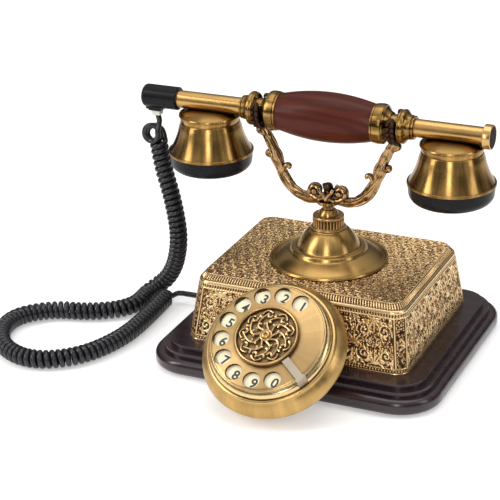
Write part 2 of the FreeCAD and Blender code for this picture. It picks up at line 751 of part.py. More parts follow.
def make_dial_mechanism():
    """Two steel plates on posts behind the number plate; they carry the shaft and the governor."""
    centre = -(at.gear_teeth + at.pinion_teeth) * at.gear_module / 2 - PINION_PLAY
    front = lathe("mechanism_front", [(0, -12.5), (42.2, -12.5), (42.2, -11.0), (0, -11.0)])
    rear = lathe("mechanism_rear", [(0, -24.5), (29, -24.5), (29, -23.0), (0, -23.0)])
    posts = []
    for number in range(3):
        angle = math.radians(90 + 120 * number)
        posts.append(cylinder(f"mechanism_post{number}", 2, 10.5, 25.5 * math.cos(angle),
                              25.5 * math.sin(angle), -23.0))
    shaft_hole = cylinder("mechanism_shaft_hole", at.shaft_radius + at.running_play, 20, 0, 0, -28)
    rotor_hole = cylinder("mechanism_rotor_hole", 1.5 + at.running_play, 20, centre, 0, -28)
    frame = cut("mechanism_form", joined("mechanism_plates", front, rear, *posts), shaft_hole,
                rotor_hole)
    node(on_dial(group("mechanism_frame", frame)))
    block = box("contacts_block", (12, 14, -23), (20, 20, -15))
    leaves = [box(f"contacts_leaf{number}", (x, 4, -20), (x + 0.4, 14, -17))
              for number, x in enumerate((17.2, 18.6))]
    node(on_dial(group("pulse_contacts", joined("contacts_form", block, *leaves))))

    node(on_dial(lathe("dial_shaft", [
        (0, -25.5), (at.shaft_radius, -25.5), (at.shaft_radius, -at.wheel_thick),
        (0, -at.wheel_thick)])))
    node(on_dial(gear("main_gear", at.gear_teeth, Size(-16, "(0 - 16)"), Size(-14.5, "(0 - 14.5)"),
                      at.shaft_radius)))
    pinion = gear("rotor_pinion", at.pinion_teeth, Size(-17, "(0 - 17)"), Size(-14, "(0 - 14)"), 1.5)
    spindle = lathe("rotor_spindle", [
        (0, -25.5), (1.5, -25.5), (1.5, -22.5), (7.5, -22.5), (7.5, -19.5), (1.5, -19.5),
        (1.5, -10.5), (0, -10.5)])
    half_tooth = Rotation(Vector(0, 0, 1), 180 / float(at.pinion_teeth))
    placed = put(group("rotor_placed", joined("rotor_form", pinion, spindle)), centre, 0, 0,
                 half_tooth)
    node(on_dial(group("governor_rotor", placed)))


def make_finger_wheel():
    thick = at.wheel_thick
    body = lathe("finger_wheel", [
        (0, -thick), (at.wheel_radius - 2.2, -thick), (at.wheel_radius - 0.6, -2.6),
        (at.wheel_radius, -2.4), (at.wheel_radius, -1.5, 2.2), (at.wheel_radius - 1.6, -0.1),
        (at.wheel_radius - 2.6, 0), (0, 0)])
    doc.recompute()
    angle = math.radians(float(at.first_hole))
    hole_sketch = body.newObject("Sketcher::SketchObject", "finger_hole_circle")
    plane = next(item for item in body.Origin.OriginFeatures if item.Role == "XY_Plane")
    hole_sketch.AttachmentSupport = [(plane, "")]
    hole_sketch.MapMode = "FlatFace"
    x, y = float(at.hole_circle) * math.cos(angle), float(at.hole_circle) * math.sin(angle)
    hole_sketch.addGeometry(Part.Circle(Vector(x, y, 0), Vector(0, 0, 1), float(at.hole_radius)))
    radius = hole_sketch.addConstraint(Sketcher.Constraint("Radius", 0, float(at.hole_radius)))
    bind(hole_sketch, f"Constraints[{radius}]", at.hole_radius)
    for kind, number, part in (("DistanceX", x, "cos"), ("DistanceY", y, "sin")):
        place = hole_sketch.addConstraint(Sketcher.Constraint(kind, 0, 3, number))
        hole_sketch.setExpression(f"Constraints[{place}]",
                                  f"Sizes.hole_circle * {part}(Sizes.first_hole * 1deg)")
    hole = body.newObject("PartDesign::Pocket", "finger_hole")
    hole.Profile = hole_sketch
    hole.Type = "Length"
    hole.Length = 5
    hole.Midplane = True
    doc.recompute()
    ring = body.newObject("PartDesign::PolarPattern", "finger_holes")
    ring.Originals = [hole]
    ring.Axis = (body.Origin.OriginFeatures[2], [""])
    ring.Occurrences = 10
    ring.Angle = 9 * float(at.hole_step)
    body.Tip = ring
    node(on_dial(body))
    rise, radius = at.rosette_rise, at.rosette_radius
    node(on_dial(lathe("wheel_rosette", [
        (0, 0), (radius, 0, 1.6), (radius - 0.8, rise - 0.4), (radius - 1.8, rise),
        (radius - 2.6, rise - 1.0), (8, rise), (0, rise)])))
    node(on_dial(lathe("rosette_screw", [
        (0, rise), (3.2, rise), (3.2, rise + 0.8, 2.4), (1.6, rise + 2.2), (0, rise + 2.2)])))


make_dial_housing()
make_dial_mechanism()
make_finger_wheel()


# ---------------------------------------------------------------- handset

def on_handset(item):
    """Moves a piece turned about +Z onto the handset's axis, its heights along +X."""
    return put(item, 0, 0, at.handset_z, along_x)


def mirrored(outline):
    """The same turned outline with its heights reversed, still anticlockwise."""
    flipped = []
    count = len(outline)
    for i in range(count - 1, -1, -1):
        point, before = outline[i], outline[i - 1]
        bend = before[2:] if len(before) > 2 else ()
        flipped.append((point[0], -point[1] if isinstance(point[1], Size) else -float(point[1]))
                       + tuple(bend))
    return flipped


def make_handset_bar():
    bore, radius = at.tube_bore, at.tube_radius
    node(on_handset(lathe("handset_tube", [
        (bore, -at.tube_left), (radius, -at.tube_left), (radius, at.tube_right),
        (bore, at.tube_right)])))
    sleeve = radius + 0.02
    half, end = at.grip_half, at.grip_end_radius
    rise = float(at.grip_radius) - float(end)
    swell = (float(half) ** 2 + rise ** 2) / (2 * rise)
    node(on_handset(lathe("grip_wood", [
        (sleeve, -half), (end, -half, swell), (end, half), (sleeve, half)])))
    collar = [(sleeve, half), (end + 0.3, half), (end + 0.3, half + 0.8), (end + 0.9, half + 1.3),
              (end + 0.9, half + 6.0, 1.6), (end - 0.6, half + 7.5), (end - 2.0, half + 7.8, -7),
              (at.neck_radius + 0.6, at.collar_end), (sleeve, at.collar_end)]
    neck, bead, bead_end = at.neck_radius, at.bead_radius, at.bead_end
    ring = [(sleeve, at.collar_end), (neck, at.collar_end), (neck, at.neck_end),
            (neck + 1.4, at.neck_end + 0.3, -4), (bead - 0.6, at.neck_end + 1.6, 1.3),
            (bead - 0.6, at.neck_end + 4.0, -9), (neck + 0.4, bead_end - 3.6),
            (neck - 0.4, bead_end - 3.2), (neck - 0.4, bead_end), (sleeve, bead_end)]
    for name, turn_over in (("right", list), ("left", mirrored)):
        node(on_handset(lathe(f"grip_collar_{name}", turn_over(collar))))
        node(on_handset(lathe(f"neck_bead_{name}", turn_over(ring))))


def make_cup(name, side):
    """A flared brass cup with a saddle that the tube lies in."""
    rim, neck = at.cup_rim_radius, at.cup_neck_radius
    low, shoulder = at.cup_low, at.cup_shoulder
    shell = lathe(f"{name}_blank", [
        (rim - 1.6, low), (rim, low), (rim, low + 1.2, 1.2), (rim - 1.3, low + 2.2, -46),
        (neck + 1.2, shoulder - 3.4), (neck + 1.2, shoulder - 1.4, 1.4), (neck, shoulder),
        (neck - 0.8, shoulder, 60), (0, shoulder + 2.2), (0, shoulder - 1.2),
        (neck - 1.6, shoulder - 2.0), (neck - 0.4, shoulder - 4.0, 46), (rim - 3.0, low + 2.4)])
    put(shell, side * at.cup_x, 0, 0)
    saddle = cylinder(f"{name}_saddle", at.tube_radius + 0.02, 80, side * at.cup_x - 40, 0,
                      at.handset_z, along_x)
    node(cut(name, shell, saddle))


def make_cup_cap(name, side):
    """A screwed-on black cap, pierced with rings of small holes."""
    outer, low, top = at.cup_rim_radius - 0.35, at.cup_cap_low, at.cup_low
    shell = lathe(f"{name}_blank", [
        (0, low), (outer - 5.5, low, 7), (outer - 0.6, low + 5.5), (outer, top), (outer - 2.2, top),
        (outer - 2.6, low + 2.4), (0, low + 2.4)])
    holes = [cylinder(f"{name}_hole0", 1.2, 6, 0, 0, low - 1)]
    for ring_radius, count in ((7, 6), (14, 12)):
        for number in range(count):
            angle = 2 * math.pi * number / count
            holes.append(cylinder(f"{name}_hole{ring_radius}_{number}", 1.2, 6,
                                  ring_radius * math.cos(angle), ring_radius * math.sin(angle),
                                  low - 1))
    node(put(group(name, cut(f"{name}_pierced", shell, *holes)), side * at.cup_x, 0, 0))


def make_handset():
    make_handset_bar()
    for cup, cap, capsule, side in (("mouth_cup", "mouth_cap", "microphone_capsule", -1),
                                    ("ear_cup", "ear_cap", "receiver_capsule", 1)):
        make_cup(cup, side)
        make_cup_cap(cap, side)
        floor = at.cup_cap_low + 2.4
        node(put(lathe(capsule, [(0, floor), (24, floor), (24, floor + 7), (20, floor + 10),
                                 (0, floor + 10)]), side * at.cup_x, 0, 0))
    left, right, radius = at.cord_cap_left, at.cord_cap_right, at.cord_cap_radius
    cap = on_handset(lathe("cord_cap_shell", [
        (0, -left), (radius - 2.4, -left, 2.6), (radius, 2.4 - left), (radius, -right - 0.6),
        (radius - 0.6, -right), (at.tube_radius + 0.02, -right),
        (at.tube_radius + 0.02, -at.tube_left), (0, -at.tube_left)]))
    jack = box("cord_cap_jack", (-132, -4.2, at.handset_z - 9.5), (-122.5, 4.2, at.handset_z - 5))
    lug = box("cord_cap_lug", (-135.4, -1.4, at.handset_z - 9.6), (-132, 1.4, at.handset_z - 5))
    node(joined("cord_cap", cap, jack, lug))
    plug = at.plug_right
    node(on_handset(lathe("end_plug", [
        (0, at.tube_right - 8), (at.tube_bore, at.tube_right - 8), (at.tube_bore, at.tube_right),
        (at.plug_radius - 0.7, at.tube_right), (at.plug_radius, at.tube_right + 0.7),
        (at.plug_radius, plug - 0.8, 0.9), (at.plug_radius - 0.8, plug), (0, plug)])))
    body = box("cord_plug_body", (-129.8, -3, at.handset_z - 13), (-124.2, 3, at.handset_z - 9.5))
    latch = box("cord_plug_latch", (-131.2, -1.6, at.handset_z - 12), (-129.8, 1.6,
                                                                       at.handset_z - 9.5))
    node(joined("cord_plug", body, latch))


make_handset()


# ---------------------------------------------------------------- curly cord

# The middle line of the coiled stretch, from its end under the handset down to the surface and
# round its loop to the end beside the plinth.
COIL_ROUTE = [
    (-128.3, 0.0, 141.0), (-127.0, 1.5, 118.0), (-120.0, 4.0, 88.0), (-118.5, 9.0, 54.0),
    (-133.0, 21.0, 20.0), (-150.5, 17.0, 7.0), (-147.5, -12.0, 6.85), (-172.0, -31.0, 6.85),
    (-203.0, -37.0, 6.85), (-224.0, -62.0, 6.85), (-210.0, -99.0, 6.85), (-176.0, -115.0, 6.85),
    (-146.0, -97.0, 6.85), (-132.0, -62.0, 6.85), (-131.0, -22.0, 6.85), (-133.5, 12.5, 6.85),
]
TOP_TAIL = [(-126.9, 0.0, 152.8), (-123.9, 1.1, 142.1)]
LOW_TAIL = [(-133.5, 12.9, 7.8), (-134.0, 20.0, 7.8), (-92.0, 20.0, 7.8)]


def make_cord():
    node(pipe("cord_coil", COIL_ROUTE, at.coil_radius))
    node(pipe("cord_tail_handset", TOP_TAIL, at.cord_radius))
    node(pipe("cord_tail_base", LOW_TAIL, at.cord_radius))


make_cord()


# ---------------------------------------------------------------- check and write

doc.recompute()
broken = [(item.Name, item.getStatusString()) for item in doc.Objects
          if "Invalid" in item.State or "Error" in item.State]
if broken:
    raise RuntimeError(f"these objects failed: {broken}")
os.makedirs("parts", exist_ok=True)
for name, item in nodes.items():
    if item.Shape.isNull() or not item.Shape.isValid() or item.Shape.Volume <= 0:
        raise RuntimeError(f"{name} has no valid solid")
    item.Shape.exportStep(f"parts/{name}.step")
print(len(nodes), "sub-parts written")
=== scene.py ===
"""The looks of the cradle telephone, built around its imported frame.

Metres, in the frame's own axes: +X along the handset, -Y towards the dial, +Z up.
Outlines are written in millimetres and scaled by MM.
"""
import math
import random

import bmesh
import bpy
import numpy as np
from mathutils import Matrix, Vector


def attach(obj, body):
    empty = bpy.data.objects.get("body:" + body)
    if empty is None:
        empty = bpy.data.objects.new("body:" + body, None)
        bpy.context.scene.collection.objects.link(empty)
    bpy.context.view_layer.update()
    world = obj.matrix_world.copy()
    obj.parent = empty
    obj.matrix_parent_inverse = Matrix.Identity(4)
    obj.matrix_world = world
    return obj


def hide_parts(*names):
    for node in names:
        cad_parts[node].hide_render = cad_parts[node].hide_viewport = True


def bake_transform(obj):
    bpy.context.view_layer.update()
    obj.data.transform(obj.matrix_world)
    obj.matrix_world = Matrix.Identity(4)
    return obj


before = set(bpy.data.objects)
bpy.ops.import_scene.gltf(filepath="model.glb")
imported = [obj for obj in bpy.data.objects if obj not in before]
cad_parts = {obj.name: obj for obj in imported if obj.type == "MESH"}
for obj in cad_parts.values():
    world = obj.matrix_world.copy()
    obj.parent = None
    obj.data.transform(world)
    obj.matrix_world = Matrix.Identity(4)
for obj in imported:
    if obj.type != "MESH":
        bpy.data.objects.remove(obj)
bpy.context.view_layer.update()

MM = 0.001
TAU = 2 * math.pi
SIDES = (("left", -1), ("right", 1))
HANDSET_Z = 166.5
NECK_X = 48.1
CUP_X = 86.8
SMOOTH_ANGLE = math.radians(40)
CAD_SMOOTH_ANGLE = math.radians(32)
rng = random.Random(7)


def put(name, data):
    """A new object in the scene."""
    item = bpy.data.objects.new(name, data)
    bpy.context.scene.collection.objects.link(item)
    return item


def new_mesh(name, points, faces):
    mesh = bpy.data.meshes.new(name)
    mesh.from_pydata(points, [], faces)
    mesh.update()
    return mesh


# ---------------------------------------------------------------- camera

CAMERA_PLACE = Vector((0.41667, -1.02608, 0.55555))
CAMERA_TARGET = Vector((-0.05637, -0.00654, 0.06405))
CAMERA_ROLL = math.radians(-1.57)
CAMERA_LENS = 126.95


def make_camera():
    data = bpy.data.cameras.new("camera")
    data.lens = CAMERA_LENS
    data.sensor_width = 36.0
    data.clip_end = 20.0
    camera = put("camera", data)
    forward = (CAMERA_TARGET - CAMERA_PLACE).normalized()
    level = forward.cross(Vector((0, 0, 1))).normalized()
    upright = level.cross(forward)
    right = level * math.cos(CAMERA_ROLL) + upright * math.sin(CAMERA_ROLL)
    up = upright * math.cos(CAMERA_ROLL) - level * math.sin(CAMERA_ROLL)
    turn = Matrix((right, up, -forward)).transposed()
    camera.matrix_world = Matrix.Translation(CAMERA_PLACE) @ turn.to_4x4()
    bpy.context.scene.camera = camera


make_camera()
bpy.context.scene.view_settings.view_transform = "Standard"

# ---------------------------------------------------------------- materials

materials = {}


def scaled(colour, factor, extra=0.0):
    """The colour made lighter or darker, with no channel over 1."""
    return tuple(min(1.0, factor * c + extra) for c in colour)


class Shader:
    """A small wrapper that builds a Principled material node by node."""

    def __init__(self, name):
        self.material = materials[name] = bpy.data.materials.new(name)
        self.material.use_nodes = True
        self.tree = self.material.node_tree
        self.main = self.tree.nodes["Principled BSDF"]

    def add(self, kind, inputs=None, **settings):
        item = self.tree.nodes.new(kind)
        for key, value in settings.items():
            setattr(item, key, value)
        for key, value in (inputs or {}).items():
            self.feed(item.inputs[key], value)
        return item

    def feed(self, socket, value):
        if isinstance(value, bpy.types.NodeSocket):
            self.tree.links.new(value, socket)
        elif isinstance(value, (tuple, list)) and len(value) == 3 and socket.type == "RGBA":
            socket.default_value = (*value, 1)
        else:
            socket.default_value = value

    def set(self, **inputs):
        for key, value in inputs.items():
            self.feed(self.main.inputs[key.replace("_", " ")], value)

    def place(self, scale=(1, 1, 1)):
        coordinates = self.add("ShaderNodeTexCoord")
        return self.add("ShaderNodeMapping", {"Vector": coordinates.outputs["Object"],
                                              "Scale": scale}).outputs[0]

    def noise(self, scale, detail=4.0, roughness=0.55, where=None):
        return self.add("ShaderNodeTexNoise", {
            "Vector": where or self.place(), "Scale": scale, "Detail": detail,
            "Roughness": roughness}).outputs["Fac"]

    def mix(self, factor, first, second):
        return self.add("ShaderNodeMix", {0: factor, 6: first, 7: second},
                        data_type="RGBA").outputs[2]

    def math(self, operation, first, second=0.5):
        return self.add("ShaderNodeMath", {0: first, 1: second}, operation=operation).outputs[0]

    def times(self, first, second):
        return self.math("MULTIPLY", first, second)

    def vector_math(self, operation, first, second=(0, 0, 0)):
        """The number that the operation gives, or else its vector."""
        outputs = self.add("ShaderNodeVectorMath", {0: first, 1: second},
                           operation=operation).outputs
        return outputs["Value" if operation in ("DOT_PRODUCT", "LENGTH") else "Vector"]

    def join(self, x=0.0, y=0.0, z=0.0):
        return self.add("ShaderNodeCombineXYZ", {"X": x, "Y": y, "Z": z}).outputs[0]

    def split(self, vector):
        outputs = self.add("ShaderNodeSeparateXYZ", {0: vector}).outputs
        return outputs["X"], outputs["Y"], outputs["Z"]

    def range(self, value, low, high, to_low=0.0, to_high=1.0):
        return self.add("ShaderNodeMapRange", {
            "Value": value, "From Min": low, "From Max": high, "To Min": to_low,
            "To Max": to_high}).outputs["Result"]

    def bump(self, height, strength=0.3, distance=0.0002, normal=None):
        inputs = {"Height": height, "Strength": strength, "Distance": distance}
        if normal is not None:
            inputs["Normal"] = normal
        return self.add("ShaderNodeBump", inputs).outputs["Normal"]

    def crevices(self, distance, samples=6):
        """0 in tight hollows and 1 on open faces."""
        return self.add("ShaderNodeAmbientOcclusion", {"Distance": distance},
                        samples=samples).outputs["AO"]

    def edges(self, radius=0.0006):
        """1 along sharp outer edges and 0 on flat stretches, from the bevelled normal."""
        bevel = self.add("ShaderNodeBevel", {"Radius": radius}, samples=4)
        plain = self.add("ShaderNodeNewGeometry").outputs["Normal"]
        return self.range(self.vector_math("DOT_PRODUCT", bevel.outputs[0], plain), 0.995, 0.90)


def brass(name, light, dark, rough=0.26, grain=0.12, patina=0.75, patina_reach=0.004,
          stretch=(1, 1, 1), wear=0.35, mottle=0.0):
    """Aged brass: dark lacquer in the hollows and in flecks, brushed lines, edges rubbed bright."""
    s = Shader(name)
    cloud = s.noise(38, 5, 0.6)
    fine = s.noise(900, 3, 0.6, s.place(stretch))
    tone = s.mix(s.range(cloud, 0.35, 0.68), scaled(light, 0.86), light)
    tone = s.mix(s.range(fine, 0.3, 0.7, 0.0, 0.35), tone, scaled(light, 0.74))
    if mottle:
        tone = s.mix(s.range(s.noise(260, 3, 0.6), 0.50, 0.62, 0.0, mottle), tone, dark)
    hollow = s.times(s.range(s.crevices(patina_reach), 0.82, 0.30), patina)
    tone = s.mix(hollow, tone, dark)
    tone = s.mix(s.times(s.edges(), wear), tone, scaled(light, 1.18))
    roughness = s.math("ADD", s.range(cloud, 0.3, 0.7, rough - 0.05, rough + 0.09),
                       s.times(hollow, 0.3))
    normal = s.bump(s.noise(160, 3), 0.05, 0.0003, s.bump(fine, grain, 0.00012))
    s.set(Base_Color=tone, Roughness=roughness, Normal=normal, Metallic=1.0)


def wood(name, light, dark, along=(1, 12, 12), rough=0.30, coat=0.5, shine=0.35):
    """Varnished wood with grain along one axis, and varnish worn thinner on its edges."""
    s = Shader(name)
    place = s.place(along)
    rings = s.add("ShaderNodeTexWave", {
        "Vector": place, "Scale": 7.0, "Distortion": 7.0, "Detail": 3.0, "Detail Scale": 1.6,
    }, wave_type="BANDS", bands_direction="DIAGONAL").outputs["Fac"]
    pores = s.noise(240, 3, 0.7, s.place(tuple(a * 1.5 for a in along)))
    tone = s.mix(s.range(rings, 0.15, 0.85), dark, light)
    tone = s.mix(s.range(pores, 0.52, 0.70, 0.0, 0.6), tone, scaled(dark, 0.45))
    tone = s.mix(s.times(s.edges(0.0012), 0.25), tone, scaled(light, 2.1, 0.02))
    roughness = s.range(s.noise(45), 0.3, 0.7, rough - 0.06, rough + 0.10)
    s.set(Base_Color=tone, Roughness=roughness, Coat_Weight=coat, Coat_Roughness=0.16,
          Specular_IOR_Level=shine, Normal=s.bump(pores, 0.10, 0.00015))


def plastic(name, colour, rough=0.22, fleck=0.15, texture=0.05, shine=0.5):
    """Moulded plastic or rubber with faint flow marks, fine scuffs and dust in its corners."""
    s = Shader(name)
    cloud = s.noise(30, 4)
    scuffs = s.noise(520, 4, 0.7, s.place((1, 1, 5)))
    tone = s.mix(s.range(cloud, 0.3, 0.7), colour, scaled(colour, 1.25, 0.006))
    dust = s.times(s.range(s.crevices(0.003), 0.7, 0.2), fleck)
    tone = s.mix(dust, tone, scaled(colour, 0.6, 0.10))
    roughness = s.range(scuffs, 0.35, 0.75, rough - 0.05, rough + 0.16)
    s.set(Base_Color=tone, Roughness=roughness, Specular_IOR_Level=shine,
          Normal=s.bump(scuffs, texture, 0.0001))


def embossed(name, light, dark, bright):
    """Pressed brass: dark lacquer in the low parts of its relief, and rubbed tops."""
    s = Shader(name)
    depth = s.add("ShaderNodeAttribute", attribute_name="relief").outputs["Fac"]
    cloud = s.noise(30, 4, 0.6)
    grit = s.noise(1500, 3, 0.7)
    low = s.range(s.math("ADD", depth, s.times(grit, 0.18)), 0.12, 0.52)
    tone = s.mix(low, dark, light)
    tone = s.mix(s.range(depth, 0.62, 0.95), tone, bright)
    tone = s.mix(s.range(cloud, 0.40, 0.70, 0.0, 0.30), tone, scaled(light, 0.55))
    roughness = s.range(low, 0.0, 1.0, 0.62, 0.27)
    s.set(Base_Color=tone, Roughness=roughness, Metallic=1.0,
          Normal=s.bump(grit, 0.20, 0.00015))


def spun(name, light, dark, rough=0.30, stretch=0.75, bands=0.30, turn=None, pitch=4.2):
    """Lathe-turned brass: highlights drawn out across the turning, about Z or a matrix's own Z, and
    painted reflection in dark and bright streaks round the axis.
    """
    s = Shader(name)
    place = s.place()
    if turn is not None:
        away = s.vector_math("SUBTRACT", place, tuple(turn.translation))
        place = s.join(*(s.vector_math("DOT_PRODUCT", away, tuple(column))
                         for column in turn.to_3x3().transposed()))
    x, y, z = s.split(place)
    angle = s.math("ARCTAN2", y, x)
    # Painted reflection: a noise round the axis that paints upright streaks, as if the brass
    # mirrored dark and bright surroundings.
    painted_reflection_streaks = s.noise(pitch, 4, 0.62, s.join(angle, 0.0, s.times(z, 6.0)))
    # On level faces the painted reflection streaks fade to an even middle tone.
    if turn is None:
        upward = s.split(s.add("ShaderNodeNewGeometry").outputs["Normal"])[2]
        level = s.range(s.math("ABSOLUTE", upward), 0.70, 0.92)
        painted_reflection_streaks = s.math("ADD", s.times(painted_reflection_streaks, s.math("SUBTRACT", 1.0, level)),
                         s.times(level, 0.5))
    reach = s.vector_math("LENGTH", s.join(x, y))
    lines = s.noise(1400, 2, 0.6, s.join(s.times(angle, 0.002), reach, z))
    # Painted reflection: the streaks darken the brass in broad bands, as deep as the bands share.
    tone = s.mix(s.range(painted_reflection_streaks, 0.38, 0.62), scaled(light, 1 - bands), light)
    tone = s.mix(s.range(lines, 0.35, 0.65, 0.0, 0.22), tone, scaled(light, 0.6))
    # Painted highlight: the brightest streaks lighten the brass.
    tone = s.mix(s.range(painted_reflection_streaks, 0.60, 0.72, 0.0, 0.5), tone, scaled(light, 1.25))
    hollow = s.times(s.range(s.crevices(0.003), 0.85, 0.35), 0.9)
    tone = s.mix(hollow, tone, dark)
    tone = s.mix(s.times(s.edges(0.0004), 0.5), tone, scaled(light, 1.3))
    if turn is None:
        tangent = s.add("ShaderNodeTangent", direction_type="RADIAL", axis="Z").outputs[0]
    else:
        tangent = s.add("ShaderNodeVectorTransform", {
            0: s.vector_math("CROSS_PRODUCT", tuple(turn.to_3x3().col[2]), away)},
            vector_type="VECTOR", convert_from="OBJECT", convert_to="WORLD").outputs[0]
    s.set(Base_Color=tone, Roughness=s.range(painted_reflection_streaks, 0.3, 0.7, rough - 0.05, rough + 0.06),
          Metallic=1.0, Anisotropic=stretch, Anisotropic_Rotation=0.25, Tangent=tangent,
          Normal=s.bump(lines, 0.06, 0.0001))


DIAL = (Matrix.Translation(Vector((0, -105.74, 52.61)) * MM)
        @ Matrix.Rotation(math.radians(36.96), 4, "X"))

brass("polished_brass", (0.62, 0.40, 0.165), (0.10, 0.045, 0.018), 0.24, stretch=(1, 1, 14))
brass("tube_brass", (0.58, 0.35, 0.125), (0.07, 0.03, 0.012), 0.25, stretch=(14, 1, 1))
brass("stop_steel", (0.46, 0.40, 0.31), (0.14, 0.10, 0.06), 0.30, stretch=(10, 1, 1))
brass("steel", (0.56, 0.56, 0.55), (0.16, 0.15, 0.14), 0.33, stretch=(1, 1, 8), wear=0.3)
brass("cast_brass", (0.47, 0.29, 0.135), (0.035, 0.015, 0.008), 0.20, grain=0.3, patina=1.0,
      patina_reach=0.0055, wear=1.0, mottle=0.72)
brass("dark_cast_brass", (0.065, 0.034, 0.020), (0.014, 0.006, 0.005), 0.30, grain=0.5, patina=1.0,
      patina_reach=0.005, wear=1.0)
brass("ribbed_brass", (0.46, 0.28, 0.12), (0.022, 0.009, 0.006), 0.27, patina=1.0,
      patina_reach=0.0022, wear=0.5)
brass("scroll_brass", (0.60, 0.41, 0.20), (0.040, 0.019, 0.010), 0.27, patina=1.0,
      patina_reach=0.0030, wear=0.8)
brass("rosette_dark", (0.30, 0.185, 0.090), (0.040, 0.020, 0.011), 0.42, patina=1.0,
      patina_reach=0.0030)
brass("knob_brass", (0.66, 0.45, 0.20), (0.06, 0.03, 0.014), 0.24, patina=0.9,
      patina_reach=0.0015)
# Painted shade: near-black brass for the finger holes' inner walls, standing in for the shade
# inside the holes.
brass("painted_hole_shade", (0.10, 0.058, 0.026), (0.02, 0.010, 0.006), 0.34, wear=0.3)
brass("rim_brass", (0.62, 0.42, 0.19), (0.05, 0.025, 0.012), 0.26, patina=0.9,
      patina_reach=0.0015)
embossed("relief_brass", (0.60, 0.38, 0.175), (0.040, 0.017, 0.010), (0.92, 0.70, 0.40))
spun("spun_brass", (0.56, 0.345, 0.115), (0.07, 0.03, 0.012))
spun("spun_dark_brass", (0.46, 0.27, 0.085), (0.05, 0.022, 0.010), 0.25, 0.8, 0.72, pitch=2.6)
spun("spun_dial_brass", (0.66, 0.44, 0.18), (0.06, 0.03, 0.013), 0.30, 0.6, 0.12)
spun("wheel_brass", (0.57, 0.375, 0.165), (0.05, 0.025, 0.011), 0.34, 0.65, 0.16, DIAL)
spun("housing_brass", (0.58, 0.37, 0.135), (0.05, 0.025, 0.011), 0.32, 0.6, 0.25, DIAL)
spun("bezel_brass", (0.80, 0.60, 0.31), (0.05, 0.025, 0.011), 0.24, 0.5, 0.10, DIAL)
wood("dark_wood", (0.026, 0.011, 0.015), (0.017, 0.007, 0.011), (1.2, 5, 5), 0.27, 0.45, 0.35)
wood("grip_wood", (0.086, 0.015, 0.007), (0.058, 0.010, 0.005), (1, 9, 9), 0.40, 0.06, 0.14)
plastic("black_plastic", (0.005, 0.0045, 0.006), 0.24, 0.04, shine=0.14)
plastic("plug_brown", (0.016, 0.006, 0.006), 0.55, 0.04, shine=0.05)
plastic("cord_black", (0.010, 0.010, 0.014), 0.22, 0.05, 0.03, shine=0.45)
plastic("pale_plastic", (0.62, 0.60, 0.54), 0.35, 0.3)
plastic("felt_green", (0.015, 0.035, 0.024), 0.95, 0.2, 0.8)
plastic("fibre_board", (0.10, 0.055, 0.03), 0.75, 0.3, 0.4)
plastic("green_board", (0.03, 0.14, 0.06), 0.35)
plastic("plate_ivory", (0.80, 0.72, 0.50), 0.40, 0.1)
plastic("digit_ink", (0.030, 0.032, 0.026), 0.5)

# ---------------------------------------------------------------- stage and light

WORLD_STRENGTH = 0.80
FLOOR_GLOW = 0.35
FLOOR_REACH = 6.0
HORIZON = (0.22, (0.06, 0.055, 0.05, 1))
ZENITH = (0.80, (1.0, 0.99, 0.97, 1))


def make_stage():
    corners = [(x * FLOOR_REACH, y * FLOOR_REACH, 0)
               for x, y in ((-1, -1), (1, -1), (1, 1), (-1, 1))]
    floor = put("floor", new_mesh("floor", corners, [(0, 1, 2, 3)]))
    s = Shader("pale_floor")
    s.set(Base_Color=s.mix(s.noise(3), (0.84, 0.84, 0.84), (0.87, 0.87, 0.87)), Roughness=0.6,
          Emission_Color=(1, 1, 1), Emission_Strength=FLOOR_GLOW)
    floor.data.materials.append(s.material)
    world = bpy.data.worlds.new("studio")
    world.use_nodes = True
    tree = world.node_tree
    place = tree.nodes.new("ShaderNodeTexCoord")
    split = tree.nodes.new("ShaderNodeSeparateXYZ")
    rise = tree.nodes.new("ShaderNodeValToRGB")
    tree.links.new(place.outputs["Generated"], split.inputs[0])
    tree.links.new(split.outputs["Z"], rise.inputs["Fac"])
    tree.links.new(rise.outputs["Color"], tree.nodes["Background"].inputs["Color"])
    for stop, (height, colour) in zip(rise.color_ramp.elements, (HORIZON, ZENITH)):
        stop.position = height
        stop.color = colour
    tree.nodes["Background"].inputs["Strength"].default_value = WORLD_STRENGTH
    bpy.context.scene.world = world


def soft_light(name, place, target, width, height, watts, colour=(1, 1, 1)):
    data = bpy.data.lights.new(name, "AREA")
    data.shape = "RECTANGLE"
    data.size = width
    data.size_y = height
    data.energy = watts
    data.color = colour
    light = put(name, data)
    light.location = place
    aim = Vector(target) - Vector(place)
    light.rotation_euler = aim.to_track_quat("-Z", "Y").to_euler()


make_stage()
soft_light("overhead", (0.0, 0.15, 1.6), (0, 0, 0), 1.4, 1.2, 9)
soft_light("left_box", (-1.1, -0.9, 0.9), (0, 0, 0.06), 0.40, 1.1, 10, (1, 0.98, 0.95))
soft_light("front_box", (0.35, -1.5, 0.75), (0, 0, 0.05), 0.30, 0.9, 6, (1, 0.99, 0.97))
soft_light("right_box", (1.2, -0.1, 0.7), (0, 0, 0.08), 0.30, 0.9, 2.6)

# ---------------------------------------------------------------- mesh helpers


def add_object(name, mesh, body, material, smooth=True, place=None):
    piece = put(name, mesh)
    if place is not None:
        piece.matrix_world = place
    mesh.materials.append(materials[material])
    if smooth:
        mesh.shade_smooth()
        mesh.set_sharp_from_angle(angle=SMOOTH_ANGLE)
    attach(piece, body)
    return piece


def mesh_from(name, points, faces, body, material, turn=None, smooth=True):
    """A mesh from points in millimetres, turned into place by an optional matrix in metres."""
    points = np.asarray(points, float) * MM
    if turn is not None:
        turn = np.array(turn)
        points = points @ turn[:3, :3].T + turn[:3, 3]
    return add_object(name, new_mesh(name, points.tolist(), faces), body, material, smooth)


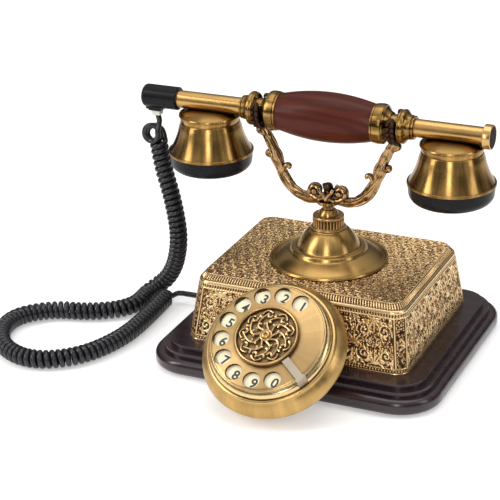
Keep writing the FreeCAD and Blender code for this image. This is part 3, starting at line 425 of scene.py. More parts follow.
def grid_faces(rows, columns, close_columns=False, close_rows=False):
    """Quads over a grid of points stored row by row."""
    faces = []
    for i in range(rows if close_rows else rows - 1):
        for j in range(columns if close_columns else columns - 1):
            a, b = i, (i + 1) % rows
            c, d = j, (j + 1) % columns
            faces.append((a * columns + c, a * columns + d, b * columns + d, b * columns + c))
    return faces


def tube_faces(rows, sides, start=0):
    """The wall and the two closed ends of a tube whose first point has the number start."""
    faces = [tuple(start + v for v in face) for face in grid_faces(rows, sides, True)]
    for row in (0, rows - 1):
        faces.append(tuple(start + row * sides + k for k in range(sides)))
    return faces


def arc_to(start, end, bend, count=7):
    """Points after start up to end; the arc of radius |bend| bulges right of travel if bend > 0."""
    if not bend:
        return [end]
    (x0, y0), (x1, y1) = start, end
    dx, dy = x1 - x0, y1 - y0
    chord = math.hypot(dx, dy)
    radius = max(abs(bend), chord / 2 * 1.0001)
    side = math.copysign(1, bend)
    depth = math.sqrt(radius ** 2 - (chord / 2) ** 2)
    cx = (x0 + x1) / 2 - side * depth * dy / chord
    cy = (y0 + y1) / 2 + side * depth * dx / chord
    first = math.atan2(y0 - cy, x0 - cx)
    last = math.atan2(y1 - cy, x1 - cx)
    sweep = (last - first) * side % TAU * side
    return [(cx + radius * math.cos(first + sweep * k / count),
             cy + radius * math.sin(first + sweep * k / count)) for k in range(1, count + 1)]


def outline(points):
    """Turns corners (r, z) or (r, z, bend of the next edge) into a fine closed outline."""
    result = [tuple(points[0][:2])]
    for start, end in zip(points, points[1:] + points[:1]):
        result += arc_to(start[:2], end[:2], start[2] if len(start) > 2 else 0)
    return result[:-1]


def turned(name, profile, body, material, slot, stands_for=(), place=None, steps=96, shape=None):
    """A turned piece about +Z; shape(angle, r, z) may move its points to add knurls or lobes."""
    points = []
    rings = outline(profile)
    for r, z in rings:
        for k in range(steps):
            angle = TAU * k / steps
            radius, height = (r, z) if shape is None else shape(angle, r, z)
            points.append((radius * math.cos(angle), radius * math.sin(angle), height))
    mesh = new_mesh(name, (np.array(points) * MM).tolist(),
                    grid_faces(len(rings), steps, True, True))
    piece = add_object(name, mesh, body, material, place=place)
    tidy_mesh(piece)
    label(piece, slot, *stands_for)


def tidy_mesh(piece, weld=True):
    """Turns faces outward and welds points that meet, such as those on a turned piece's axis."""
    work = bmesh.new()
    work.from_mesh(piece.data)
    if weld:
        bmesh.ops.remove_doubles(work, verts=work.verts, dist=1e-6)
        bmesh.ops.dissolve_degenerate(work, edges=work.edges, dist=1e-7)
    bmesh.ops.recalc_face_normals(work, faces=work.faces)
    work.to_mesh(piece.data)
    work.free()


def smooth_line(points, steps=8):
    """A Catmull-Rom line through points, as vectors."""
    points = [Vector(p) for p in points]
    first = points[0] * 2 - points[1]
    last = points[-1] * 2 - points[-2]
    padded = [first] + points + [last]
    line = []
    for a, b, c, d in zip(padded, padded[1:], padded[2:], padded[3:]):
        for k in range(steps):
            t = k / steps
            line.append(0.5 * ((2 * b) + (c - a) * t + (2 * a - 5 * b + 4 * c - d) * t * t
                               + (3 * b - a - 3 * c + d) * t ** 3))
    line.append(points[-1])
    return line


def tube_points(line, radius, sides=12, flatten=1.0, normal=None):
    """Rings round a line of vectors; radius may be a function of the share of the way along."""
    tangent = (line[1] - line[0]).normalized()
    across = (normal or Vector((0, 1, 0))).copy()
    across = (across - tangent * across.dot(tangent)).normalized()
    rings = []
    for i, point in enumerate(line):
        ahead = line[min(i + 1, len(line) - 1)] - line[max(i - 1, 0)]
        ahead.normalize()
        across = (across - ahead * across.dot(ahead)).normalized()
        up = ahead.cross(across)
        share = i / (len(line) - 1)
        size = radius(share) if callable(radius) else radius
        for k in range(sides):
            angle = TAU * k / sides
            rings.append(point + across * (size * flatten * math.cos(angle))
                         + up * (size * math.sin(angle)))
    return rings


def bar(name, lines, body, material, slot, stands_for=(), sides=12, place=None):
    """Round bars with closed ends in one mesh, from (line, radius, flatten, normal) entries."""
    points, faces = [], []
    for line, radius, flatten, normal in lines:
        faces += tube_faces(len(line), sides, len(points))
        points += tube_points(line, radius, sides, flatten, normal)
    piece = mesh_from(name, [tuple(p) for p in points], faces, body, material, place)
    tidy_mesh(piece)
    label(piece, slot, *stands_for)


def label(piece, slot, *nodes):
    """Hides the CAD nodes that a piece takes the place of; the slot is not used."""
    if nodes:
        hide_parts(*nodes)


def repaint(material, *names):
    """Gives CAD nodes a procedural material."""
    for name in names:
        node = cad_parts[name]
        node.data.materials.clear()
        node.data.materials.append(materials[material])
        node.data.shade_smooth()
        node.data.set_sharp_from_angle(angle=CAD_SMOOTH_ANGLE)


repaint("dark_wood", "plinth")
repaint("fibre_board", "base_plate")
repaint("felt_green", "felt_pad")
repaint("steel", "base_screws", "body_screws", "hook_switch", "hook_spring", "gong_posts",
        "ringer_coil", "clapper", "mechanism_frame", "pulse_contacts", "dial_shaft",
        "governor_rotor", "receiver_capsule", "microphone_capsule")
repaint("polished_brass", "gong_left", "gong_right", "main_gear", "cradle_stem", "guide_bush")
repaint("green_board", "circuit_board")
repaint("black_plastic", "cord_grommet", "line_jack")
repaint("housing_brass", "dial_housing", "dial_back", "dial_bracket")
repaint("bezel_brass", "dial_bezel")
repaint("plate_ivory", "number_plate")
repaint("tube_brass", "handset_tube")
repaint("grip_wood", "grip_wood")
repaint("stop_steel", "finger_stop")
repaint("wheel_brass", "finger_wheel")
repaint("black_plastic", "ear_cap", "mouth_cap", "cord_cap")
repaint("plug_brown", "end_plug")
repaint("pale_plastic", "cord_plug")

# ---------------------------------------------------------------- curly cord

COIL_ROUTE = [
    (-128.3, 0.0, 141.0), (-127.0, 1.5, 118.0), (-120.0, 4.0, 88.0), (-118.5, 9.0, 54.0),
    (-133.0, 21.0, 20.0), (-150.5, 17.0, 7.0), (-147.5, -12.0, 6.85), (-172.0, -31.0, 6.85),
    (-203.0, -37.0, 6.85), (-224.0, -62.0, 6.85), (-210.0, -99.0, 6.85), (-176.0, -115.0, 6.85),
    (-146.0, -97.0, 6.85), (-132.0, -62.0, 6.85), (-131.0, -22.0, 6.85), (-133.5, 12.5, 6.85),
]
TOP_TAIL = [(-126.9, 0.0, 153.4), (-123.9, 1.1, 142.1)]
LOW_TAIL = [(-133.5, 12.9, 7.8), (-134.0, 20.0, 7.8), (-92.0, 20.0, 7.8)]
WIRE_RADIUS = 2.0
WIRE_SIDES = 10
HELIX_RADIUS = 4.8
HELIX_PITCH = 4.35
STEPS_PER_TURN = 12
TOP_LOOP = Vector((-131.0, -0.8, 140.4))
TOP_LOOP_RADIUS = 6.0
TOP_LOOP_STEPS = 26
SKIPPED_STEPS = 23


def spline_line(points, steps):
    """Points read from a NURBS spline whose control points are these."""
    data = bpy.data.curves.new("route", "CURVE")
    data.dimensions = "3D"
    spline = data.splines.new("NURBS")
    spline.points.add(len(points) - 1)
    for point, place in zip(spline.points, points):
        point.co = (*place, 1)
    spline.order_u = 3
    spline.use_endpoint_u = True
    spline.resolution_u = steps
    route = bpy.data.objects.new("route", data)
    mesh = bpy.data.meshes.new_from_object(route)
    line = [vertex.co.copy() for vertex in mesh.vertices]
    bpy.data.meshes.remove(mesh)
    bpy.data.objects.remove(route)
    bpy.data.curves.remove(data)
    return line


def spaced(line, count):
    """The same line as count + 1 evenly spaced points."""
    lengths = [0.0]
    for a, b in zip(line, line[1:]):
        lengths.append(lengths[-1] + (b - a).length)
    result, i = [], 0
    for k in range(count + 1):
        wanted = lengths[-1] * k / count
        while i < len(line) - 2 and lengths[i + 1] < wanted:
            i += 1
        gap = max(lengths[i + 1] - lengths[i], 1e-9)
        result.append(line[i].lerp(line[i + 1], min(1, (wanted - lengths[i]) / gap)))
    return result, lengths[-1]


def coil_centreline():
    """The wire's whole centreline: a straight end, the helix along the route, a straight end."""
    route, length = spaced(spline_line(COIL_ROUTE, 60), 4000)
    turns = round(length / HELIX_PITCH)
    count = turns * STEPS_PER_TURN
    route, length = spaced(route, count)
    top_start, top_end = (Vector(p) for p in TOP_TAIL)
    low_turn, low_end = Vector(LOW_TAIL[1]), Vector(LOW_TAIL[2])
    ahead = (route[1] - route[0]).normalized()
    across = top_end - route[0]
    across = (across - ahead * across.dot(ahead)).normalized()
    helix = []
    for k, point in enumerate(route):
        ahead = (route[min(k + 1, count)] - route[max(k - 1, 0)]).normalized()
        across = (across - ahead * across.dot(ahead)).normalized()
        up = ahead.cross(across)
        angle = TAU * k / STEPS_PER_TURN
        helix.append(point + (across * math.cos(angle) + up * math.sin(angle)) * HELIX_RADIUS)
    reach = max(range(len(helix) - STEPS_PER_TURN, len(helix)), key=lambda k: helix[k].x)
    top = [top_start, top_start.lerp(top_end, 0.4) + Vector((0.8, -0.8, 0))]
    for k in range(TOP_LOOP_STEPS):
        angle = math.radians(25) - TAU * k / STEPS_PER_TURN
        aside = HELIX_PITCH * (k / STEPS_PER_TURN - 1.0)
        sink = -0.12 * k
        top.append(TOP_LOOP + Vector((TOP_LOOP_RADIUS * math.cos(angle), aside,
                                      TOP_LOOP_RADIUS * math.sin(angle) + sink)))
    low = [low_turn.lerp(low_end, 0.13), low_turn.lerp(low_end, 0.35), low_end]
    return spline_line(top + helix[SKIPPED_STEPS:reach + 1] + low, 2)


def make_cord():
    line = coil_centreline()
    lift = max(0.0, WIRE_RADIUS + 0.05 - min(p.z for p in line))
    line = [p + Vector((0, 0, lift)) if p.z < 20 else p for p in line]
    rings = tube_points(line, WIRE_RADIUS, WIRE_SIDES)
    mesh = new_mesh("curly_cord", [tuple(p * MM) for p in rings],
                    tube_faces(len(line), WIRE_SIDES))
    piece = put("curly_cord", mesh)
    mesh.materials.append(materials["cord_black"])
    mesh.shade_smooth()
    tidy_mesh(piece)
    label(piece, "cord_pvc", "cord_coil", "cord_tail_handset", "cord_tail_base")
    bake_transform(piece)


make_cord()

# ---------------------------------------------------------------- embossed body


class Relief:
    """A height map over a flat panel, from 0 to 1, that strokes and beads are pressed into."""

    STEP = 0.15

    def __init__(self, width, height):
        self.map = np.zeros((int(height / self.STEP) + 2, int(width / self.STEP) + 2))

    def dab(self, x, y, radius, height=1.0):
        row, column = y / self.STEP, x / self.STEP
        reach = radius / self.STEP
        rows = np.arange(max(int(row - reach), 0), min(int(row + reach) + 2, len(self.map)))
        columns = np.arange(max(int(column - reach), 0),
                            min(int(column + reach) + 2, self.map.shape[1]))
        if len(rows) and len(columns):
            away = ((rows[:, None] - row) ** 2 + (columns[None] - column) ** 2) / reach ** 2
            patch = self.map[rows[0]:rows[-1] + 1, columns[0]:columns[-1] + 1]
            np.maximum(patch, height * np.sqrt(np.clip(1 - away, 0, 1)), out=patch)

    def stroke(self, points, radius, height=1.0):
        """Dabs along a line; radius may be a function of the share of the way along."""
        for i, (x, y) in enumerate(points):
            share = i / max(len(points) - 1, 1)
            self.dab(x, y, radius(share) if callable(radius) else radius, height)

    def leaf(self, x, y, length, direction, curl, width=0.55, height=0.9):
        """A tear-shaped stroke that bends by curl radians on its way."""
        count = max(4, int(length / 0.3))
        points = []
        for k in range(count + 1):
            points.append((x, y))
            x += length / count * math.cos(direction + curl * k / count)
            y += length / count * math.sin(direction + curl * k / count)
        self.stroke(points, lambda t: 0.25 + width * math.sin(math.pi * (0.12 + 0.88 * t)) ** 0.8,
                    height)

    def curl(self, x, y, size, start, side, leaves=6):
        """A vine that winds into an eye, with leaves along its outer and inner sides."""
        count = int(size * 14)
        line = []
        for k in range(count + 1):
            share = k / count
            angle = start + side * TAU * 1.55 * share
            radius = size * (1 - 0.86 * share ** 0.85)
            line.append((x + radius * math.cos(angle), y + radius * math.sin(angle)))
        self.stroke(line, lambda t: 0.10 * size + 0.20 - 0.12 * t)
        self.dab(*line[-1], 0.16 * size + 0.2)
        for k in range(leaves):
            angle = start + side * TAU * (0.04 + 0.80 * k / leaves)
            root = size * (1 - 0.86 * (0.03 + 0.5 * k / leaves) ** 0.85)
            from_x, from_y = x + root * math.cos(angle), y + root * math.sin(angle)
            self.leaf(from_x, from_y, 0.64 * size, angle + side * 0.5, side * 1.7,
                      0.08 * size + 0.10)
            self.leaf(from_x, from_y, 0.45 * size, angle + side * 1.3, side * 1.2, 0.30)

    def palmette(self, x, y, size, up=1):
        """A fan of leaves that opens upwards, or downwards if up is -1."""
        for k in range(-3, 4):
            lean = 0.42 * k
            self.leaf(x, y, size * (1 - 0.09 * abs(k)), up * math.pi / 2 - up * lean,
                      -up * 0.45 * k, 0.60)
        self.dab(x, y, 1.0)

    def fill(self, tries):
        """Short strokes wherever the ground is still bare."""
        height, width = (count * self.STEP for count in self.map.shape)
        for _ in range(tries):
            x, y = rng.uniform(0, width), rng.uniform(0, height)
            if self.sample(np.array([x - 0.45, x + 0.45, x, x]),
                           np.array([y, y, y - 0.45, y + 0.45])).max() < 0.15:
                self.leaf(x, y, rng.uniform(0.5, 2.2), rng.uniform(0, TAU), rng.uniform(-2, 2),
                          0.16, 0.85)

    def line_across(self, y, radius, height=1.0):
        """A ridge along the whole panel."""
        rows = np.arange(len(self.map)) * self.STEP
        ridge = height * np.sqrt(np.clip(1 - ((rows - y) / radius) ** 2, 0, 1))
        np.maximum(self.map, ridge[:, None], out=self.map)

    def sample(self, x, y):
        row = np.clip(y / self.STEP, 0, len(self.map) - 1.001)
        column = np.clip(x / self.STEP, 0, self.map.shape[1] - 1.001)
        i, j = row.astype(int), column.astype(int)
        a, b = row - i, column - j
        m = self.map
        return ((m[i, j] * (1 - b) + m[i, j + 1] * b) * (1 - a)
                + (m[i + 1, j] * (1 - b) + m[i + 1, j + 1] * b) * a)


class Loop:
    """A rounded rectangle cut into equal shares of columns, wherever its size changes."""

    def __init__(self, half_x, half_y, radius, columns):
        lengths = []
        for side in range(4):
            straight = 2 * ((half_x if side % 2 == 0 else half_y) - radius)
            lengths += [straight, math.pi / 2 * radius]
        self.total = sum(lengths)
        self.starts = np.concatenate([[0], np.cumsum(lengths)])
        self.along = np.arange(columns) / columns * self.total
        self.part = np.searchsorted(self.starts, self.along, side="right") - 1
        self.share = (self.along - self.starts[self.part]) / np.array(lengths)[self.part]

    def panel(self, side):
        """Where one side's panel starts and ends, a little way round the corners."""
        return self.starts[2 * side] - PANEL_EDGE, self.starts[2 * side + 1] + PANEL_EDGE

    def place(self, half_x, half_y, radius):
        """Points and outward normals of the loop at another size, column by column."""
        points = np.zeros((len(self.along), 2))
        normals = np.zeros((len(self.along), 2))
        for side in range(4):
            turn = math.pi / 2 * side
            reach, half = (half_y, half_x) if side % 2 == 0 else (half_x, half_y)
            cos, sin = math.cos(turn), math.sin(turn)
            spin = np.array([[cos, -sin], [sin, cos]])
            here = self.part == 2 * side
            local = np.stack([(2 * self.share[here] - 1) * (half - radius),
                              np.full(here.sum(), -reach)], 1)
            points[here] = local @ spin.T
            normals[here] = spin @ np.array([0, -1])
            here = self.part == 2 * side + 1
            angle = self.share[here] * math.pi / 2 - math.pi / 2
            out = np.stack([np.cos(angle), np.sin(angle)], 1)
            centre = np.array([half - radius, radius - reach])
            points[here] = (centre + radius * out) @ spin.T
            normals[here] = out @ spin.T
        return points, normals


BODY_LOW = (79.4, 65.3, 10.0, 19.2)
BODY_BEVEL = (74.5, 57.5, 10.0, 59.5)
BODY_TOP = (70.4, 53.3, 8.0, 64.6)
BODY_COLUMNS = 1360
RELIEF_DEPTH = 0.70
RELIEF_SUNK = 0.5
DOME_HIDES = 37.5
WALL_HEIGHT = 40.4
BEVEL_WIDTH = 6.6
WALL_ROWS, BEVEL_ROWS, TOP_ROWS = 92, 20, 74
WALL_TILT, BEVEL_TILT = 0.15, 0.9
SHELL_THICK = 1.6
TICK_PITCH = 2.05
PANEL_EDGE = 3.5
EDGE_BARE = 8


def wall_relief(loop):
    """Four panels of scrolls between ridges, with beads above them and dentils below them."""
    relief = Relief(loop.total, WALL_HEIGHT)
    low, high = 3.1, 36.6
    for side in range(4):
        start, end = loop.panel(side)
        cells = round((end - start) / 31)
        cell = (end - start) / cells
        for number in range(cells):
            middle = start + cell * (number + 0.5)
            relief.palmette(middle, 5.0, 10)
            relief.palmette(middle, 35.0, 9, -1)
            relief.palmette(start + cell * number, 17, 9)
            for hand in (-1, 1):
                relief.curl(middle + hand * 8.0, 11.0, 5.4, math.pi / 2 - hand * 1.2, -hand, 8)
                relief.curl(middle + hand * 7.6, 27.0, 5.4, -math.pi / 2 + hand * 1.3, hand, 8)
                relief.curl(middle + hand * 3.4, 19.2, 2.9, hand * 0.4, hand, 4)
                relief.curl(middle + hand * 13.0, 34.0, 2.3, -hand * 0.9, -hand, 4)
                relief.curl(middle + hand * 12.8, 5.6, 2.3, hand * 0.9, hand, 4)
    relief.fill(15000)
    away = np.arange(len(relief.map)) * relief.STEP
    relief.map[(away < low) | (away > high)] = 0
    for side in range(4):
        for u in loop.panel(side):
            column = int(u % loop.total / relief.STEP)
            relief.map[:, max(column - EDGE_BARE, 0):column + EDGE_BARE + 1] = 0
            relief.stroke([(u % loop.total, v) for v in np.arange(low, high, 0.15)], 0.6)
    pitch = loop.total / round(loop.total / TICK_PITCH)
    for k in range(round(loop.total / pitch)):
        relief.dab((k + 0.5) * pitch, 1.65, 0.72)
        relief.stroke([((k + 0.5) * pitch, v) for v in (37.7, 37.9, 38.1, 38.3, 38.5)], 0.55, 0.9)
    for v, radius in ((0.3, 0.55), (low, 0.5), (high, 0.6), (39.9, 0.9)):
        relief.line_across(v, radius)
    return relief


def bevel_relief(loop):
    """A smooth band, and above it a row of upright ticks between two ridges."""
    relief = Relief(loop.total, BEVEL_WIDTH)
    relief.line_across(0.8, 0.95, 0.95)
    ticks = round(loop.total / TICK_PITCH)
    for k in range(ticks):
        u = (k + 0.5) * loop.total / ticks
        relief.stroke([(u, v) for v in np.arange(2.5, 5.5, 0.15)], 0.55)
    relief.line_across(6.45, 0.45)
    return relief


def top_relief():
    """Small scrolls all over, each wound its own way."""
    relief = Relief(2 * BODY_TOP[0], 2 * BODY_TOP[1])
    pitch = 7.4
    for row in range(int(2 * BODY_TOP[1] / pitch) + 1):
        for number in range(int(2 * BODY_TOP[0] / pitch) + 2):
            relief.curl((number + 0.5 * (row % 2)) * pitch + rng.uniform(-1, 1),
                        (row + 0.5) * pitch + rng.uniform(-1, 1), rng.uniform(2.7, 3.5),
                        rng.uniform(0, TAU), rng.choice((-1, 1)), 5)
    relief.fill(45000)
    return relief


def make_body():
    loop = Loop(*BODY_LOW[:3], BODY_COLUMNS)
    walls, bevel, top = wall_relief(loop), bevel_relief(loop), top_relief()
    points, heights = [], []

    def ring(size, z, tilt, level):
        """Adds one loop, moved along its tilted normal by its relief."""
        flat, out = loop.place(*size)
        push = level * RELIEF_DEPTH - RELIEF_SUNK
        flat = flat + out * (push * math.cos(tilt))[:, None]
        points.append(np.column_stack([flat, z + push * math.sin(tilt)]))
        heights.append(level)

    def between(low, high, share):
        return tuple(a + (b - a) * share for a, b in zip(low, high))

    still = np.zeros(BODY_COLUMNS)
    for size, drop in ((BODY_TOP, SHELL_THICK), (BODY_LOW, 0)):
        ring([v - SHELL_THICK for v in size[:3]], size[3] - drop, 0, still)
    for k in range(WALL_ROWS + 1):
        *size, z = between(BODY_LOW, BODY_BEVEL, k / WALL_ROWS)
        height = WALL_HEIGHT * k / WALL_ROWS
        ring(size, z, WALL_TILT, walls.sample(loop.along, np.full(BODY_COLUMNS, height)))
    for k in range(1, BEVEL_ROWS + 1):
        *size, z = between(BODY_BEVEL, BODY_TOP, k / BEVEL_ROWS)
        height = BEVEL_WIDTH * k / BEVEL_ROWS
        ring(size, z, BEVEL_TILT, bevel.sample(loop.along, np.full(BODY_COLUMNS, height)))
    edge, out = loop.place(*BODY_TOP[:3])
    rim = DOME_HIDES * edge / np.linalg.norm(edge, axis=1)[:, None]
    for k in range(1, TOP_ROWS + 1):
        flat = edge + (rim - edge) * k / TOP_ROWS
        level = top.sample(flat[:, 0] + BODY_TOP[0], flat[:, 1] + BODY_TOP[1])
        z = BODY_TOP[3] + level * RELIEF_DEPTH - RELIEF_SUNK
        points.append(np.column_stack([flat, z]))
        heights.append(level)
    for size, z in ((1.0, BODY_TOP[3] - RELIEF_SUNK), (0.17, BODY_TOP[3] - RELIEF_SUNK),
                    (0.17, BODY_TOP[3] - SHELL_THICK)):
        points.append(np.column_stack([rim * size, np.full(BODY_COLUMNS, z)]))
        heights.append(still)
    faces = grid_faces(len(points), BODY_COLUMNS, True, True)
    piece = mesh_from("embossed_body", np.concatenate(points), faces, "base", "relief_brass",
                      smooth=False)
    piece.data.shade_smooth()
    relief = piece.data.attributes.new("relief", "FLOAT", "POINT")
    relief.data.foreach_set("value", np.concatenate(heights).astype(np.float32))
    tidy_mesh(piece, weld=False)
    label(piece, "embossed_brass", "body_shell")


make_body()

# ---------------------------------------------------------------- pedestal

TOP = BODY_TOP[3]
RIBS = 30


def knurl(angle, r, z):
    """Upright ribs between the collar's two rims."""
    inside = 89.8 < z < 95.6 and r > 9
    return (r - (1.15 * (0.5 - 0.5 * math.cos(RIBS * angle)) ** 1.5 if inside else 0), z)


def make_pedestal():
    turned("dome", [
        (37.0, TOP), (40.6, TOP, 0.9), (40.6, TOP + 1.4, 0.9), (39.2, TOP + 2.2), (38.4, TOP + 1.3),
        (37.6, TOP + 1.5, 34), (27.2, TOP + 6.8, -2.4), (26.0, TOP + 8.2), (25.6, TOP + 9.0, 1.5),
        (23.8, TOP + 9.9), (22.4, TOP + 9.7, -2.5), (21.4, TOP + 10.6, 24), (13.6, 86.6, -3),
        (12.2, 87.5), (6.1, 87.5), (6.1, TOP)], "base", "spun_brass", "polished_brass",
        ["dome_pedestal"], steps=160)
    turned("ribbed_collar", [
        (6.1, 87.5), (11.5, 87.5, 0.7), (11.5, 88.9, 0.5), (10.8, 89.3), (10.8, 89.7),
        (10.8, 89.9), (10.8, 92.7), (10.8, 95.5), (10.8, 95.7), (10.8, 96.2, 1.2), (9.6, 97.3),
        (6.1, 97.3)], "base", "ribbed_brass", "polished_brass", ["knurled_collar"],
        steps=RIBS * 12, shape=knurl)
    turned("stem_cap", [
        (3.9, 95.0), (6.0, 95.0), (6.0, 97.3), (7.2, 97.3, 6.5), (5.0, 100.8, 0.5), (4.4, 101.0),
        (3.9, 101.0)], "base", "spun_brass", "polished_brass", ["collar_cap"])


make_pedestal()

# ---------------------------------------------------------------- cradle

ARM_LINE = [(4.0, 108.6), (13.5, 107.4), (21.0, 109.2), (27.6, 114.2), (33.0, 122.4),
            (36.6, 131.5), (39.8, 140.5), (43.6, 148.0), (46.4, 153.5), (47.4, 156.5)]
FRONT = Vector((0, 1, 0))
PRONG_TURN = 2.15
FORK_LEAVES = 13


def in_plane(points, side):
    """Points of the cradle's plane, for the right side or mirrored for the left."""
    return [Vector((side * x, 0, z)) for x, z in points]


def scroll_line(x, z, size, start, turns, steps=40):
    """A flat spiral from its rim to its eye, in the cradle's plane."""
    line = []
    for k in range(steps + 1):
        radius, angle = size * (1 - 0.8 * k / steps), start + TAU * turns * k / steps
        line.append((x + radius * math.cos(angle), z + radius * math.sin(angle)))
    return line


def arm_swell(share):
    """The arm's radius: thick where it leaves the hub, with swellings where its leaves part."""
    leaves = sum(math.exp(-((share - place) / 0.045) ** 2) for place in (0.34, 0.58, 0.80))
    return 3.6 - 1.0 * share + 0.7 * leaves


def make_arm(name, side):
    """An S-shaped arm cast as branches: leaf ribs wrap it and three short curls leave it."""
    line = smooth_line(in_plane(ARM_LINE, side), 9)
    parts = [(line, arm_swell, 0.80, FRONT)]
    count = len(line)
    for strand in range(4):
        rib = []
        for i, point in enumerate(line[3:-2]):
            share = i / count
            ahead = (line[i + 4] - line[i + 2]).normalized()
            across = FRONT
            up = ahead.cross(across)
            angle = strand * TAU / 4 + 2.6 * share * side + 0.4
            rib.append(point + (across * 0.85 * math.cos(angle) + up * math.sin(angle))
                       * (arm_swell(share + 0.03) - 0.10))
        parts.append((rib, lambda t: 1.05 * math.sin(math.pi * (0.08 + 0.84 * t)) ** 0.5
                      * (0.62 + 0.5 * abs(math.sin(3.1 * TAU * t))), 1.0, FRONT))
    stems = [
        # under the fork outside, at mid-height inside, and between those two outside
        [(44.5, 149.0), (47.5, 149.8), (50.0, 151.0), (50.2, 152.6), (48.8, 152.6)],
        [(33.0, 123.5), (31.6, 127.2), (29.6, 129.0), (27.9, 128.2), (28.6, 126.9)],
        [(38.5, 136.0), (41.6, 134.2), (43.9, 135.0), (43.6, 136.7), (42.4, 136.2)],
    ]
    for stem in stems:
        parts.append((smooth_line(in_plane(stem, side), 6),
                      lambda t: 1.9 - 0.3 * t, 1.3, FRONT))
    bar(f"{name}_branch", parts, "cradle", "cast_brass", "antique_brass", [name], 14)


def make_hub():
    """Two big volutes that roll inwards on a small block, with leaves in a V between them."""
    parts = []
    for side in (-1, 1):
        volute = scroll_line(8.9, 113.6, 4.3, -1.3, 1.25)
        parts.append((smooth_line(in_plane([(3.5, 108.0), (7.0, 107.8)] + volute, side), 3),
                      lambda t: 2.35 - 0.6 * t, 1.7, FRONT))
        parts.append(([Vector((side * 8.9, y, 113.6)) for y in (-4.2, 0, 4.2)],
                      1.5, 1.0, Vector((1, 0, 0))))
        for y in (-3.8, 3.8):
            parts.append((smooth_line([Vector((0, y * 1.05, 108.6)),
                                       Vector((side * 1.6, y * 1.1, 111.6)),
                                       Vector((side * 3.7, y * 1.25, 114.0)),
                                       Vector((side * 5.0, y * 1.1, 116.8))], 6),
                          lambda t: 1.75 - 0.5 * t, 1.0, FRONT))
            parts.append(([Vector((side * 5.4, y, 107.8)), Vector((side * 2.4, y * 1.05, 109.4)),
                           Vector((0, y * 1.1, 108.4))], 1.1, 1.0, FRONT))
    parts.append((smooth_line([Vector((0, 0, 106.8)), Vector((0, 0, 110)), Vector((0, 0, 113)),
                               Vector((0, 0, 115.5))], 4), lambda t: 4.4 - 1.8 * t, 0.95, FRONT))
    bar("hub_scrolls", parts, "cradle", "cast_brass", "antique_brass", ["cradle_hub"], 14)

    def lobed(angle, r, z):
        return r * (1 + 0.12 * math.cos(6 * angle)), z

    turned("bud", [
        (0, 112.5), (2.6, 112.5), (2.4, 114.0), (3.3, 115.4, 3.2), (2.9, 118.2, 2.6), (1.0, 119.8),
        (0, 120.0)], "cradle", "dark_cast_brass", "antique_brass", ["finial_bud"], steps=60,
        shape=lobed)


def make_fork(name, side):
    """A cradle of rough cast leaves under the neck, with a prong of leaves on each side of it."""
    centre = Vector((side * NECK_X, 0, HANDSET_Z))
    sideways = Vector((1, 0, 0))

    def round_neck(turn, reach, shift=0.0):
        """A point beside the neck; past level, its prong goes straight up."""
        level = math.copysign(math.pi / 2, turn)
        if abs(turn) <= math.pi / 2:
            away = Vector((0, math.sin(turn), -math.cos(turn))) * reach
        else:
            away = Vector((0, math.sin(level) * reach, (abs(turn) - abs(level)) * reach))
        return centre + away + Vector((shift, 0, 0))

    band = [round_neck(PRONG_TURN * (k / 30 - 1), 9.75) for k in range(61)]
    parts = [(band, 1.85, 1.25, sideways)]
    for k in range(FORK_LEAVES):
        turn = PRONG_TURN * ((2 * k + 1) / FORK_LEAVES - 1)
        for lean in (-1, 1):
            root = round_neck(turn - 0.10, 10.2, lean * 0.5)
            middle = round_neck(turn + 0.02 * lean, 11.9, lean * 1.5)
            tip = round_neck(turn + 0.16, 12.2, lean * 2.3)
            parts.append((smooth_line([root, middle, tip], 4),
                          lambda t: 1.25 * math.sin(math.pi * (0.25 + 0.6 * t)), 1.0, sideways))
    for end in (-PRONG_TURN, PRONG_TURN):
        top = round_neck(end, 9.9)
        parts.append((smooth_line([top, top + Vector((0, 0, 1.2)), top + Vector((0, 0, 2.2))], 3),
                      lambda t: 2.2 - 1.2 * t * t, 1.2, sideways))
    parts.append((smooth_line([centre + Vector((-side * 0.9, 0, -12.5)),
                               centre + Vector((0, 0, -9.8))], 3), 2.9, 1.0, sideways))
    bar(f"{name}_leaves", parts, "cradle", "dark_cast_brass", "antique_brass", [name])


def make_cradle():
    turned("saucer", [
        (3.8, 101.2), (3.8, 103.6, -2.2), (5.4, 104.6), (7.6, 105.2, 0.7), (7.6, 106.4, 0.8),
        (6.4, 107.2), (0, 107.2), (0, 101.2)], "cradle", "spun_dark_brass", "polished_brass",
        ["cradle_saucer"])
    for name, side in SIDES:
        make_arm(f"arm_{name}", side)
        make_fork(f"fork_{name}", side)
    make_hub()


make_cradle()

# ---------------------------------------------------------------- dial

UP = Vector((0, 0, 1))
ROSETTE_STEMS = 9
STEM_HEIGHT, LEAF_HEIGHT = 2.5, 2.1
HOLE_CIRCLE = 31.1
HOLE_RADIUS = 5.8
FIRST_HOLE = math.radians(62.93)
HOLE_STEP = math.radians(25.77)
CARD_TOP = -2.2
PLATE_TOP = -5.4
DIGIT_SHIFT = Vector((1.4, -1.45, 0.06))
DIGIT_SIZE = 9.2
DIGIT_LEAN = math.radians(-14)


def polar(radius, angle, height):
    return Vector((radius * math.cos(angle), radius * math.sin(angle), height))


def flat_ring(radius, z, steps):
    return [polar(radius, TAU * k / steps, z) for k in range(steps + 1)]


